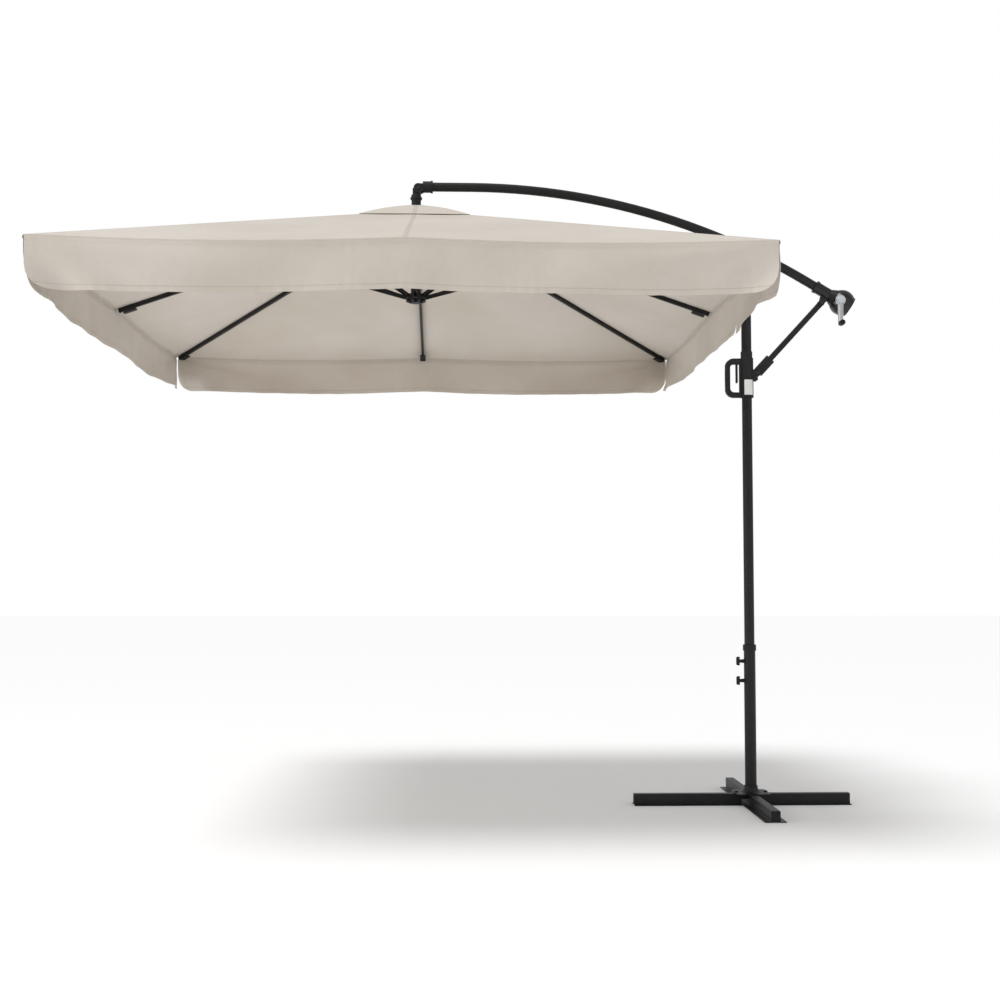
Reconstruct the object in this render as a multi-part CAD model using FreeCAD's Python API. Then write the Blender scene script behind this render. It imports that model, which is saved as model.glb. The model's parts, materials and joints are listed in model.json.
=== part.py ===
import FreeCAD
import Part
import math
import os

# A cantilever parasol: a cross base, a swivelling mast, a bent boom with a winch, and a square canopy.
# Millimetres. The origin is on the ground at the mast's axis. +X points from the canopy to the winch.

# Overall
CANOPY_SIDE = 2500.0
BOOM_TIP_HEIGHT = 2592.0
MAST_R = 21.0

# Canopy
HUB_REACH = CANOPY_SIDE / 2.0 + 150.0
EDGE_HEIGHT = BOOM_TIP_HEIGHT - 530.0
CROWN_HEIGHT = BOOM_TIP_HEIGHT - 102.0
CLOTH = 0.6
VALANCE_DROP = 172.0
VALANCE_CORNER = 80.0
CORNER_SLIT = 6.0
VENT_HALF = 75.0
CAP_HALF = 225.0
CAP_MOUTH_HALF = 24.0
CAP_TOP = CROWN_HEIGHT + 18.0
CAP_LIFT = 7.04

# Ribs and stretchers
RIB_WIDTH = 12.0
RIB_HEIGHT = 18.0
RIB_WALL = 0.8
RIB_PLUG = 8.0
RIB_EDGE_GAP = 8.0
CORNER_GAP = 24.0
HINGE_RADIUS = 36.0
HINGE_PIN_R = 2.0
RUNNER_RADIUS = 33.0
RUNNER_PIVOT_HEIGHT = BOOM_TIP_HEIGHT - 477.0
SIDE_JOINT = 600.0
CORNER_JOINT = 583.66
JOINT_PIN_R = 2.5
STRETCHER_WALL = 0.8
STRETCHER_DEPTH = 15.0
STRETCHER_OPEN = 40.0

# Hub
POST_R = 21.0
POST_WALL = 1.5
POST_TOP = BOOM_TIP_HEIGHT - 80.0
POST_FOOT = RUNNER_PIVOT_HEIGHT + 22.5
HUB_R = 50.0
HUB_TOP = CROWN_HEIGHT - 8.0
HUB_UNDER = HUB_TOP - 28.0
RUNNER_R = 42.0
RUNNER_CORE_R = 22.0
RUNNER_TOP = RUNNER_PIVOT_HEIGHT + 22.0
RUNNER_UNDER = RUNNER_PIVOT_HEIGHT - 21.0

# Boom
BOOM_R = 19.0
BOOM_WALL = 1.5
BOOM_FALL = 31.0
BOOM_BEND_R = 2781.0
BOOM_BEND_START = HUB_REACH - 1166.0
PULLEY_R = 9.0
CORD_R = 1.5

# Winch
SPHERE_R = 54.0
SHELL = 4.0
NECK_START = -135.0
CAP_SEAT = 32.0
WINCH_ALONG = 20.0
SPOOL_R = 13.25
CRANK_LENGTH = 100.0
CRANK_HUB_R = 21.5
CRANK_PLATE = 10.0
KNOB_R = 11.5
KNOB_LENGTH = 28.0
HOUSING_DISTANCE = 411.0

# Mast
MAST_WALL = 1.5
MAST_FOOT = 475.0
SOCKET_R = MAST_R + 3.0
SOCKET_WALL = 2.0
SOCKET_TOP = 645.0
COLLAR_TOP = 660.0
COLLAR_R = SOCKET_R + 3.5
SCREW_HEIGHTS = (591.0, 510.0)
SCREW_R = 4.0
SCREW_REACH = 56.0
SCREW_HEAD = 36.0
HEAD_BOLT_R = 4.5
PIVOT_DROP = 10.5
CHEEK = 4.5

# Slider and strut
SLIDER_R = MAST_R + 7.0
SLIDER_UNDER = BOOM_TIP_HEIGHT - 893.0
SLIDER_SHOULDER = SLIDER_UNDER + 166.0
SLIDER_TOP = SLIDER_SHOULDER + 30.0
GRIP_REACH = 91.0
STRUT_FOOT = (SLIDER_R + 16.0, SLIDER_UNDER + 104.0)
STRUT_HEAD = (321.0, BOOM_TIP_HEIGHT - 487.0)
STRUT_HEIGHT = 24.0
STRUT_WIDTH = 16.0
STRUT_WALL = 1.5
STRUT_PIN_R = 4.0
STRUT_SLACK = 3.2

# Base
BEAM_FRONT = 490.0
BEAM_BACK = 410.0
CROSS_HALF = 450.0
BEAM_HEIGHT = 45.0
BEAM_CROWN = 36.0
BEAM_SPREAD = 85.0
STEEL = 3.0
BEND = 3.5
LAP_GAP = 0.5
FOOT_HALF = 70.0
FOOT_PLATE = 5.0
FLARE_R = 25.0
BOLT_R = 4.0
BOLT_SPOT = 61.0

# Clearances
SHAFT_GAP = 0.06
SLIDE_GAP = 0.3
SEAT_GAP = 0.05
SIDE_GAP = 0.5

HALF = CANOPY_SIDE / 2.0
PITCH = (CROWN_HEIGHT - EDGE_HEIGHT) / HALF
SIDE_ANGLE = math.degrees(math.atan(PITCH))
CORNER_ANGLE = math.degrees(math.atan(PITCH / math.sqrt(2.0)))
CLOTH_DROP = CLOTH / math.cos(math.radians(SIDE_ANGLE))
KITE = math.tan(math.radians(22.5))
CAP_RIM = CROWN_HEIGHT - PITCH * CAP_HALF + CAP_LIFT
SIDES = {"right": 0.0, "rear": 90.0, "left": 180.0, "front": 270.0}
CORNERS = {"rear_right": 45.0, "rear_left": 135.0, "front_left": 225.0, "front_right": 315.0}
X_AXIS = FreeCAD.Vector(1, 0, 0)
Y_AXIS = FreeCAD.Vector(0, 1, 0)
Z_AXIS = FreeCAD.Vector(0, 0, 1)
ORIGIN = FreeCAD.Vector(0, 0, 0)


def save(name, *solids):
    """Write one sub-part, a single solid or a group of them."""
    shape = solids[0] if len(solids) == 1 else Part.makeCompound(list(solids))
    shape.exportStep("parts/" + name + ".step")


def box(x0, x1, y0, y1, z0, z1):
    return Part.makeBox(x1 - x0, y1 - y0, z1 - z0, FreeCAD.Vector(x0, y0, z0))


def rod(radius, start, axis, length):
    return Part.makeCylinder(radius, length, FreeCAD.Vector(*start), axis)


def cross_rod(radius, x, z, half):
    """A cylinder along Y, centred on the boom's plane."""
    return rod(radius, (x, -half, z), Y_AXIS, 2.0 * half)


def pipe(outer, inner, start, axis, length):
    return rod(outer, start, axis, length).cut(rod(inner, start, axis, length))


def joined(shapes):
    return shapes[0].multiFuse(shapes[1:]).removeSplitter()


def spun(outline):
    """Turn an outline of (radius, height) points about the vertical axis."""
    points = [FreeCAD.Vector(r, 0, z) for r, z in outline]
    return Part.Face(Part.makePolygon(points + points[:1])).revolve(ORIGIN, Z_AXIS, 360)


def tilted(shape, x, z, down):
    """Turn a shape built along +X downwards, and carry its origin to (x, z)."""
    shape.rotate(ORIGIN, Y_AXIS, down)
    shape.translate(FreeCAD.Vector(x, 0, z))
    return shape


def at_azimuth(shape, azimuth):
    """Carry a shape built about the canopy's axis for the +X side to another side."""
    shape.rotate(ORIGIN, Z_AXIS, azimuth)
    shape.translate(FreeCAD.Vector(-HUB_REACH, 0, 0))
    return shape


def boom_point(along, below=0.0):
    """A point of the boom's rear run, counted from the housing's centre, and so far under the axis."""
    fall = math.radians(BOOM_FALL)
    x, z = housing_centre()
    return (
        x + along * math.cos(fall) - below * math.sin(fall),
        z - along * math.sin(fall) - below * math.cos(fall),
    )


def boom_corners():
    """The ends of the boom's bend: (x, z) where it begins and where it ends."""
    fall = math.radians(BOOM_FALL)
    start = (BOOM_BEND_START - HUB_REACH, BOOM_TIP_HEIGHT)
    end = (start[0] + BOOM_BEND_R * math.sin(fall), start[1] - BOOM_BEND_R * (1.0 - math.cos(fall)))
    return start, end


def housing_centre():
    end = boom_corners()[1]
    fall = math.tan(math.radians(BOOM_FALL))
    return HOUSING_DISTANCE, end[1] - (HOUSING_DISTANCE - end[0]) * fall


def boom_height(x):
    """The height of the boom's axis where it crosses over x, within its bend or its rear run."""
    start, end = boom_corners()
    if x > end[0]:
        return end[1] - (x - end[0]) * math.tan(math.radians(BOOM_FALL))
    return start[1] - BOOM_BEND_R + math.sqrt(BOOM_BEND_R**2 - (x - start[0]) ** 2)


def boom_pivot_height():
    """The boom turns on a bolt through the lower half of its tube, so that the cord passes over it."""
    return boom_height(0.0) - PIVOT_DROP


def boom_path(first_x, rear):
    """The boom's axis from first_x near the tip to a point of the rear run."""
    start, end = boom_corners()
    half = math.radians(BOOM_FALL / 2.0)
    middle = FreeCAD.Vector(
        start[0] + BOOM_BEND_R * math.sin(half), 0, start[1] - BOOM_BEND_R * (1.0 - math.cos(half))
    )
    a = FreeCAD.Vector(start[0], 0, start[1])
    b = FreeCAD.Vector(end[0], 0, end[1])
    tip = FreeCAD.Vector(first_x, 0, BOOM_TIP_HEIGHT)
    tail = FreeCAD.Vector(rear[0], 0, rear[1])
    edges = [Part.LineSegment(tip, a), Part.Arc(a, middle, b), Part.LineSegment(b, tail)]
    return Part.Wire([edge.toShape() for edge in edges])


def swept(path, radius, first_x):
    ring = Part.Wire(Part.makeCircle(radius, FreeCAD.Vector(first_x, 0, BOOM_TIP_HEIGHT), X_AXIS))
    return path.makePipeShell([ring], True, False)


def tip_pivot():
    """The hinge of the canopy on the boom, which is also the pulley's axle."""
    return PULLEY_R - HUB_REACH, BOOM_TIP_HEIGHT - PULLEY_R


def winch_axis():
    """The spool's axis, set so that the cord leaves the spool's top along the boom's axis."""
    return boom_point(-WINCH_ALONG, SPOOL_R)


# Base


def hat_beam(start, length):
    """A hat-section beam along X: crown, two webs and two flanges of one bent sheet."""
    crown = BEAM_CROWN / 2.0
    spread = BEAM_SPREAD / 2.0
    outline = [
        (-spread, 0), (-crown + STEEL, 0), (-crown + STEEL, BEAM_HEIGHT - STEEL),
        (crown - STEEL, BEAM_HEIGHT - STEEL), (crown - STEEL, 0), (spread, 0), (spread, STEEL),
        (crown, STEEL), (crown, BEAM_HEIGHT), (-crown, BEAM_HEIGHT), (-crown, STEEL), (-spread, STEEL),
    ]
    points = [FreeCAD.Vector(start, y, z) for y, z in outline]
    solid = Part.Face(Part.makePolygon(points + points[:1])).extrude(X_AXIS * length)
    rounded = [
        edge
        for edge in solid.Edges
        if edge.BoundBox.XLength > length / 2.0
        and abs(abs(edge.CenterOfMass.y) - crown) < 0.01
        and edge.CenterOfMass.z > 1.0
    ]
    return solid.makeFillet(BEND, rounded)


def lap_notch(half_y, half_x, z0, z1):
    return box(-half_x, half_x, -half_y, half_y, z0, z1)


def base_beams():
    middle = BEAM_HEIGHT / 2.0
    crown = BEAM_CROWN / 2.0 + LAP_GAP
    spread = BEAM_SPREAD / 2.0 + LAP_GAP
    long_beam = hat_beam(-BEAM_FRONT, BEAM_FRONT + BEAM_BACK)
    long_beam = long_beam.cut(lap_notch(spread, spread, -1.0, middle))
    cross_beam = hat_beam(-CROSS_HALF, 2.0 * CROSS_HALF)
    cross_beam = cross_beam.cut(lap_notch(spread, crown, middle, BEAM_HEIGHT + 1.0))
    holes = [rod(BOLT_R + SIDE_GAP, (side * BOLT_SPOT, 0, 0), Z_AXIS, BEAM_HEIGHT + 1.0) for side in (-1, 1)]
    long_beam = long_beam.cut(Part.makeCompound(holes))
    cross_beam = cross_beam.cut(Part.makeCompound(holes))
    cross_beam.rotate(ORIGIN, Z_AXIS, 90)
    save("base_beam_long", long_beam)
    save("base_beam_cross", cross_beam)


def base_flange():
    """The square plate on the cross, with a flared neck that holds the mast's foot."""
    top = BEAM_HEIGHT + FOOT_PLATE
    plate = box(-FOOT_HALF, FOOT_HALF, -FOOT_HALF, FOOT_HALF, BEAM_HEIGHT, top)
    plate = plate.makeFillet(15.0, [edge for edge in plate.Edges if edge.BoundBox.ZLength > FOOT_PLATE / 2.0])
    neck = SOCKET_R + 3.0
    flare = rod(neck + FLARE_R, (0, 0, top), Z_AXIS, FLARE_R)
    ring = Part.makeTorus(neck + FLARE_R, FLARE_R, FreeCAD.Vector(0, 0, top + FLARE_R), Z_AXIS)
    solid = joined([plate, flare.cut(ring)])
    cuts = [rod(SOCKET_R + SEAT_GAP, (0, 0, BEAM_HEIGHT), Z_AXIS, FOOT_PLATE + FLARE_R)]
    for x, y in bolt_spots():
        cuts.append(rod(BOLT_R + SIDE_GAP, (x, y, BEAM_HEIGHT), Z_AXIS, FOOT_PLATE))
    save("base_flange", solid.cut(Part.makeCompound(cuts)))


def bolt_spots():
    return [(BOLT_SPOT, 0), (-BOLT_SPOT, 0), (0, BOLT_SPOT), (0, -BOLT_SPOT)]


def hexagon(across, x, y, z, height):
    corner = across / math.sqrt(3.0)
    turns = [math.radians(60.0 * n) for n in range(7)]
    points = [FreeCAD.Vector(x + corner * math.cos(t), y + corner * math.sin(t), z) for t in turns]
    return Part.Face(Part.makePolygon(points)).extrude(Z_AXIS * height)


def base_fasteners():
    """Four bolts with their nuts, heads on the plate and nuts under the crowns."""
    across = 3.2 * BOLT_R
    thick = 1.4 * BOLT_R
    under = BEAM_HEIGHT - STEEL
    top = BEAM_HEIGHT + FOOT_PLATE
    solids = []
    for x, y in bolt_spots():
        shank = rod(BOLT_R, (x, y, under - 1.6 * thick), Z_AXIS, top - under + 1.6 * thick)
        solids.append(joined([shank, hexagon(across, x, y, top, thick)]))
        nut = hexagon(across, x, y, under - thick, thick)
        solids.append(nut.cut(rod(BOLT_R + SEAT_GAP, (x, y, under - thick), Z_AXIS, thick)))
    save("base_fasteners", *solids)


# Mast


def lower_mast():
    """The fixed tube, with two threaded bosses for the clamping screws."""
    tube = rod(SOCKET_R, (0, 0, BEAM_HEIGHT), Z_AXIS, SOCKET_TOP - BEAM_HEIGHT)
    bosses = [rod(2.0 * SCREW_R, (-SOCKET_R - 9.0, 0, z), X_AXIS, 20.0) for z in SCREW_HEIGHTS]
    inner = SOCKET_R - SOCKET_WALL
    bore = rod(inner, (0, 0, BEAM_HEIGHT), Z_AXIS, SOCKET_TOP - BEAM_HEIGHT)
    holes = [rod(SCREW_R + SHAFT_GAP, (-SOCKET_R - 9.0, 0, z), X_AXIS, 20.0) for z in SCREW_HEIGHTS]
    save("lower_mast", joined([tube] + bosses).cut(Part.makeCompound([bore] + holes)))


def mast_collar():
    """The plastic bush in the socket's mouth, and the ring below that the upper tube stands on."""
    slide = MAST_R + SLIDE_GAP
    inner = SOCKET_R - SOCKET_WALL - SEAT_GAP
    bush = spun([
        (slide, SOCKET_TOP - 30.0), (inner, SOCKET_TOP - 30.0), (inner, SOCKET_TOP),
        (SOCKET_R + SEAT_GAP, SOCKET_TOP), (SOCKET_R + SEAT_GAP, SOCKET_TOP - 10.0),
        (COLLAR_R, SOCKET_TOP - 10.0), (COLLAR_R, COLLAR_TOP - 2.0), (COLLAR_R - 2.0, COLLAR_TOP),
        (slide, COLLAR_TOP),
    ])
    stop = pipe(inner, MAST_R - 6.0, (0, 0, MAST_FOOT - 12.0), Z_AXIS, 12.0)
    save("mast_collar", bush, stop)


def wing_screw(name, height):
    """A screw with a flat thumb piece, its tip just clear of the upper tube."""
    tip = -MAST_R - SLIDE_GAP
    bearing = -SOCKET_R - 9.0 - SLIDE_GAP
    head = bearing - 3.0
    shank = rod(SCREW_R, (head, 0, height), X_AXIS, tip - head)
    collar = rod(7.0, (head - 6.0, 0, height), X_AXIS, 9.0)
    wing = box(-SCREW_REACH, head - 6.0, -4.5, 4.5, height - SCREW_HEAD / 2.0, height + SCREW_HEAD / 2.0)
    ends = [
        edge
        for edge in wing.Edges
        if edge.BoundBox.YLength > 5.0 and edge.CenterOfMass.x < -SCREW_REACH + 0.1
    ]
    save(name, joined([shank, collar, wing.makeFillet(6.0, ends)]))


def upper_mast():
    """The sliding tube; a closed lower end stands on the stop ring."""
    top = head_seat()
    tube = pipe(MAST_R, MAST_R - MAST_WALL, (0, 0, MAST_FOOT), Z_AXIS, top - MAST_FOOT)
    save("upper_mast", tube)


def head_seat():
    """The height of the mast's upper end, so far under the boom that the boom can tilt."""
    return boom_height(0.0) - BOOM_R - 55.0


def mast_head():
    """A cap on the mast with two cheeks that carry the boom's pivot bolt."""
    seat = head_seat()
    pivot = boom_pivot_height()
    cap = rod(MAST_R + 4.0, (0, 0, seat - 50.0), Z_AXIS, 56.0)
    cap = cap.cut(rod(MAST_R + SEAT_GAP, (0, 0, seat - 50.0), Z_AXIS, 50.0))
    inner = BOOM_R + 2.0
    shapes = [cap]
    for side in (-1, 1):
        low = min(side * inner, side * (inner + CHEEK))
        shapes.append(box(-MAST_R, MAST_R, low, low + CHEEK, seat, pivot))
        shapes.append(rod(MAST_R, (0, low, pivot), Y_AXIS, CHEEK))
    hole = cross_rod(HEAD_BOLT_R + SEAT_GAP, 0, pivot, inner + CHEEK + 1.0)
    save("mast_head", joined(shapes).cut(hole))


def head_bolt():
    """The boom's pivot bolt, with its head and cap nut outside the cheeks."""
    pivot = boom_pivot_height()
    face = BOOM_R + 2.0 + CHEEK
    shank = cross_rod(HEAD_BOLT_R, 0, pivot, face)
    head = rod(9.0, (0, -face - 5.0, pivot), Y_AXIS, 5.0)
    nut = rod(8.5, (0, face, pivot), Y_AXIS, 7.0)
    save("head_bolt", joined([shank, head, nut]))


# Slider and strut


def slider():
    """The moulded sleeve with its strut ears, and the hand grip on the canopy side."""
    slide = MAST_R + SLIDE_GAP
    x, z = STRUT_FOOT
    body = rod(SLIDER_R, (0, 0, SLIDER_UNDER), Z_AXIS, SLIDER_SHOULDER - SLIDER_UNDER)
    collar = rod(SLIDER_R - 3.5, (0, 0, SLIDER_SHOULDER), Z_AXIS, SLIDER_TOP - SLIDER_SHOULDER)
    ear = STRUT_WIDTH / 2.0 + 4.0 + SIDE_GAP
    shapes = [body, collar]
    for side in (-1, 1):
        low = min(side * ear, side * (ear + 5.0))
        shapes.append(box(0, x, low, low + 5.0, z - 32.0, z + 14.0))
        shapes.append(rod(14.0, (x, low, z), Y_AXIS, 5.0))
    bore = rod(slide, (0, 0, SLIDER_UNDER), Z_AXIS, SLIDER_TOP - SLIDER_UNDER)
    hole = cross_rod(STRUT_PIN_R + SEAT_GAP, x, z, ear + 6.0)
    sleeve = joined(shapes).cut(Part.makeCompound([bore, hole]))
    lever_hole = cross_rod(2.0 + SEAT_GAP, -lever_pivot()[0], lever_pivot()[1], 12.0)
    save("slider_sleeve", sleeve)
    save("slider_grip", grip_loop().cut(lever_hole))
    pin = cross_rod(STRUT_PIN_R, x, z, ear + 5.0)
    heads = [rod(7.0, (x, y, z), Y_AXIS, 3.0) for y in (-ear - 8.0, ear + 5.0)]
    save("slider_pins", joined([pin] + heads), cross_rod(2.0, -lever_pivot()[0], lever_pivot()[1], 11.0))


def lever_pivot():
    return SLIDER_R + 15.0, SLIDER_SHOULDER - 16.0


def grip_loop():
    """A D-shaped loop with a finger gap, cut to the round of the sleeve."""
    outer = box(-GRIP_REACH, 0, -11.0, 11.0, SLIDER_UNDER, SLIDER_SHOULDER)
    outer = outer.makeFillet(
        34.0,
        [e for e in outer.Edges if e.BoundBox.YLength > 5 and e.CenterOfMass.x < -1],
    )
    gap = box(-GRIP_REACH + 19.0, -SLIDER_R - 3.0, -12.0, 12.0, SLIDER_UNDER + 22.0, SLIDER_SHOULDER - 24.0)
    gap = gap.makeFillet(17.0, [e for e in gap.Edges if e.BoundBox.YLength > 5 and e.CenterOfMass.x < -60])
    slot = box(-GRIP_REACH + 25.0, -SLIDER_R - 3.0, -7.0, 7.0, SLIDER_SHOULDER - 30.0, SLIDER_SHOULDER - 6.0)
    core = rod(SLIDER_R + SEAT_GAP, (0, 0, SLIDER_UNDER), Z_AXIS, SLIDER_SHOULDER - SLIDER_UNDER)
    return outer.cut(Part.makeCompound([core, gap, slot]))


def release_lever():
    """The trigger inside the grip, hung from a cross pin at its top."""
    reach, height = lever_pivot()
    eye = cross_rod(5.0, -reach, height, 6.0)
    blade = box(-reach - 4.0, -reach + 4.0, -6.0, 6.0, height - 88.0, height)
    tips = [e for e in blade.Edges if e.BoundBox.YLength > 5 and e.CenterOfMass.z < height - 80]
    blade = blade.makeFillet(3.5, tips)
    save("release_lever", joined([eye, blade]).cut(cross_rod(2.0 + SHAFT_GAP, -reach, height, 7.0)))


def slider_label():
    """A thin plain label wrapped on the sleeve's front."""
    outer = SLIDER_R + SEAT_GAP + 0.4
    band = pipe(outer, SLIDER_R + SEAT_GAP, (0, 0, SLIDER_UNDER + 10.0), Z_AXIS, 64.0)
    window = box(-15.0, 21.0, -outer - 1.0, -10.0, SLIDER_UNDER + 10.0, SLIDER_UNDER + 74.0)
    save("slider_label", band.common(window))


def strut():
    """A flat tube with a hinged foot socket and a plug with an eye at its head."""
    dx = STRUT_HEAD[0] - STRUT_FOOT[0]
    dz = STRUT_HEAD[1] - STRUT_FOOT[1]
    length = math.hypot(dx, dz)
    up = -math.degrees(math.atan2(dz, dx))
    half_z = STRUT_HEIGHT / 2.0
    half_y = STRUT_WIDTH / 2.0
    start, end = 24.0, length - 20.0
    tube = box(start, end, -half_y, half_y, -half_z, half_z)
    tube = tube.makeFillet(4.0, [e for e in tube.Edges if e.BoundBox.XLength > length / 2.0])
    inner_y, inner_z = half_y - STRUT_WALL, half_z - STRUT_WALL
    tube = tube.cut(box(start, end, -inner_y, inner_y, -inner_z, inner_z))
    save("strut_tube", tilted(tube, *STRUT_FOOT, up))

    wide_y, wide_z = half_y + 4.0, half_z + 9.0
    sock = box(6.0, 84.0, -wide_y, wide_y, -wide_z, wide_z)
    sock = sock.makeFillet(5.0, [e for e in sock.Edges if e.BoundBox.XLength > 40])
    sock = joined([sock, cross_rod(13.0, 0, 0, wide_y)])
    room = box(start, 90.0, -half_y - SEAT_GAP, half_y + SEAT_GAP, -half_z - SEAT_GAP, half_z + SEAT_GAP)
    sock = sock.cut(Part.makeCompound([room, cross_rod(STRUT_PIN_R + SHAFT_GAP, 0, 0, wide_y + 1.0)]))
    plug = joined([
        box(length - 60.0, end, -inner_y + 0.1, inner_y - 0.1, -inner_z + 0.1, inner_z - 0.1),
        box(end, length, -half_y, half_y, -half_z, half_z),
        cross_rod(half_z, length, 0, half_y),
    ])
    plug = plug.cut(cross_rod(STRUT_PIN_R + STRUT_SLACK, length, 0, half_y + 1.0))
    save("strut_fittings", tilted(sock, *STRUT_FOOT, up), tilted(plug, *STRUT_FOOT, up))


# Boom and winch


def boom_tube():
    first = tip_pivot()[0] + 23.0
    rear = boom_point(-SPHERE_R + 6.0)
    path = boom_path(first, rear)
    tube = swept(path, BOOM_R, first).cut(swept(path, BOOM_R - BOOM_WALL, first))
    pivot = boom_pivot_height()
    tube = tube.cut(cross_rod(HEAD_BOLT_R + 2.0 + SEAT_GAP, 0, pivot, BOOM_R + 1.0))
    save("boom_tube", tube)


def boom_pins():
    """The pivot bush, the canopy's hinge pin and the strut's upper pin."""
    pivot = boom_pivot_height()
    bush = cross_rod(HEAD_BOLT_R + 2.0, 0, pivot, BOOM_R + 1.5)
    bush = bush.cut(cross_rod(HEAD_BOLT_R + SHAFT_GAP, 0, pivot, BOOM_R + 2.0))
    x, z = tip_pivot()
    tip = joined([
        cross_rod(4.0, x, z, 23.0),
        rod(6.5, (x, -25.0, z), Y_AXIS, 3.0),
        rod(6.5, (x, 22.0, z), Y_AXIS, 3.0),
    ])
    face = STRUT_WIDTH / 2.0 + SIDE_GAP + 4.0
    x, z = STRUT_HEAD
    upper = joined([
        cross_rod(STRUT_PIN_R, x, z, face + 2.0),
        rod(7.0, (x, -face - 3.0, z), Y_AXIS, 3.0),
        rod(7.0, (x, face, z), Y_AXIS, 3.0),
    ])
    save("boom_pins", bush, tip, upper)


def tip_fitting():
    """The sleeve on the boom's tip, with a fork for the canopy's hanger."""
    x, z = tip_pivot()
    web = x + 19.0
    sleeve = rod(BOOM_R + 5.0, (web, 0, BOOM_TIP_HEIGHT), X_AXIS, 42.0)
    ring = rod(BOOM_R + 7.5, (web + 34.0, 0, BOOM_TIP_HEIGHT), X_AXIS, 8.0)
    shapes = [sleeve, ring]
    for low in (-21.5, 17.2):
        shapes.append(rod(20.0, (x, low, z), Y_AXIS, 4.3))
        shapes.append(box(x, web + 2.0, low, low + 4.3, BOOM_TIP_HEIGHT - 22.0, BOOM_TIP_HEIGHT + 10.0))
    cuts = [
        rod(BOOM_R + SEAT_GAP, (web + 4.0, 0, BOOM_TIP_HEIGHT), X_AXIS, 42.0),
        rod(CORD_R + 3.0, (web - 1.0, 0, BOOM_TIP_HEIGHT), X_AXIS, 8.0),
        cross_rod(4.0 + SEAT_GAP, x, z, 24.0),
    ]
    save("tip_fitting", joined(shapes).cut(Part.makeCompound(cuts)))


def boom_screws():
    """Button screws in the tip sleeve and in the housing's neck."""
    x = tip_pivot()[0] + 42.0
    solids = [
        rod(3.0, (x, -BOOM_R - 7.0, BOOM_TIP_HEIGHT), Y_AXIS, 1.9),
        rod(3.0, (x, BOOM_R + 5.1, BOOM_TIP_HEIGHT), Y_AXIS, 1.9),
    ]
    for along in (-112.0, -84.0):
        px, pz = boom_point(along)
        solids.append(rod(3.0, (px, -BOOM_R - 7.6, pz), Y_AXIS, 2.0))
        solids.append(rod(3.0, (px, BOOM_R + 5.6, pz), Y_AXIS, 2.0))
    save("boom_screws", *solids)


def edges_through(points):
    """Straight edges through (x, z) points."""
    corners = [FreeCAD.Vector(x, 0, z) for x, z in points]
    return [Part.LineSegment(a, b).toShape() for a, b in zip(corners, corners[1:])]


def round_radius(radius, along):
    """The radius at a distance along the axis of a sphere about the origin."""
    return math.sqrt(radius**2 - along**2)


def sphere_arc(radius, start, end):
    ends = [FreeCAD.Vector(x, 0, round_radius(radius, x)) for x in (start, end)]
    return Part.Arc(ends[0], FreeCAD.Vector(0, 0, radius), ends[1]).toShape()


def housing():
    """The bell that holds the spool: a neck on the boom, a round shell, and ears for the strut."""
    neck = BOOM_R + 5.5
    seat = BOOM_R + SEAT_GAP
    inner = SPHERE_R - SHELL
    shoulder = -0.7 * SPHERE_R
    rim_outer, rim_inner = round_radius(SPHERE_R, CAP_SEAT), round_radius(inner, CAP_SEAT)
    profile = Part.Wire([
        *edges_through([(NECK_START, seat), (NECK_START, neck + 2.5), (NECK_START + 12.0, neck + 2.5)]),
        *edges_through([(NECK_START + 12.0, neck + 2.5), (NECK_START + 12.0, neck), (-66.0, neck)]),
        *edges_through([(-66.0, neck), (shoulder, round_radius(SPHERE_R, shoulder))]),
        sphere_arc(SPHERE_R, shoulder, CAP_SEAT),
        *edges_through([(CAP_SEAT, rim_outer), (CAP_SEAT, rim_inner)]),
        sphere_arc(inner, CAP_SEAT, -round_radius(inner, seat)),
        *edges_through([(-round_radius(inner, seat), seat), (NECK_START, seat)]),
    ])
    shell = Part.Face(profile).revolve(ORIGIN, X_AXIS, 360)
    boss = rod(22.0, (-WINCH_ALONG, -SPHERE_R - 1.0, -SPOOL_R), Y_AXIS, 20.0)
    boss = boss.cut(Part.makeSphere(SPHERE_R - SHELL))
    shell = joined([shell, boss])
    shell = shell.cut(rod(5.0 + SHAFT_GAP, (-WINCH_ALONG, -SPHERE_R - 2.0, -SPOOL_R), Y_AXIS, 24.0))
    x, z = housing_centre()
    shell = tilted(shell, x, z, BOOM_FALL)
    save("crank_housing", joined([shell] + strut_ears()))
    save("housing_cap", housing_cap(x, z))


def strut_ears():
    """Two ears under the housing's neck, either side of the strut's head."""
    x, z = STRUT_HEAD
    inner = STRUT_WIDTH / 2.0 + SIDE_GAP
    root = boom_point(-92.0, BOOM_R + 3.0)
    heel = boom_point(-58.0, BOOM_R + 3.0)
    ears = []
    for low in (-inner - 4.0, inner):
        corners = [(x - 10.0, z - 8.0), root, heel, (x + 12.0, z - 3.0)]
        points = [FreeCAD.Vector(px, low, pz) for px, pz in corners]
        plate = Part.Face(Part.makePolygon(points + points[:1])).extrude(Y_AXIS * 4.0)
        ears.append(joined([plate, rod(13.0, (x, low, z), Y_AXIS, 4.0)]))
    hole = cross_rod(STRUT_PIN_R + SEAT_GAP, x, z, inner + 5.0)
    return [ear.cut(hole) for ear in ears]


def housing_cap(x, z):
    """The flat end of the bell, with one groove between its rim and its centre."""
    rim = round_radius(SPHERE_R, CAP_SEAT)
    cap = rod(rim, (CAP_SEAT, 0, 0), X_AXIS, 6.0)
    groove = pipe(rim - 5.0, rim - 8.0, (CAP_SEAT + 3.0, 0, 0), X_AXIS, 4.0)
    spigot = rod(rim - 2.0 * SHELL, (CAP_SEAT - 6.0, 0, 0), X_AXIS, 7.0)
    return tilted(joined([cap.cut(groove), spigot]), x, z, BOOM_FALL)


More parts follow.
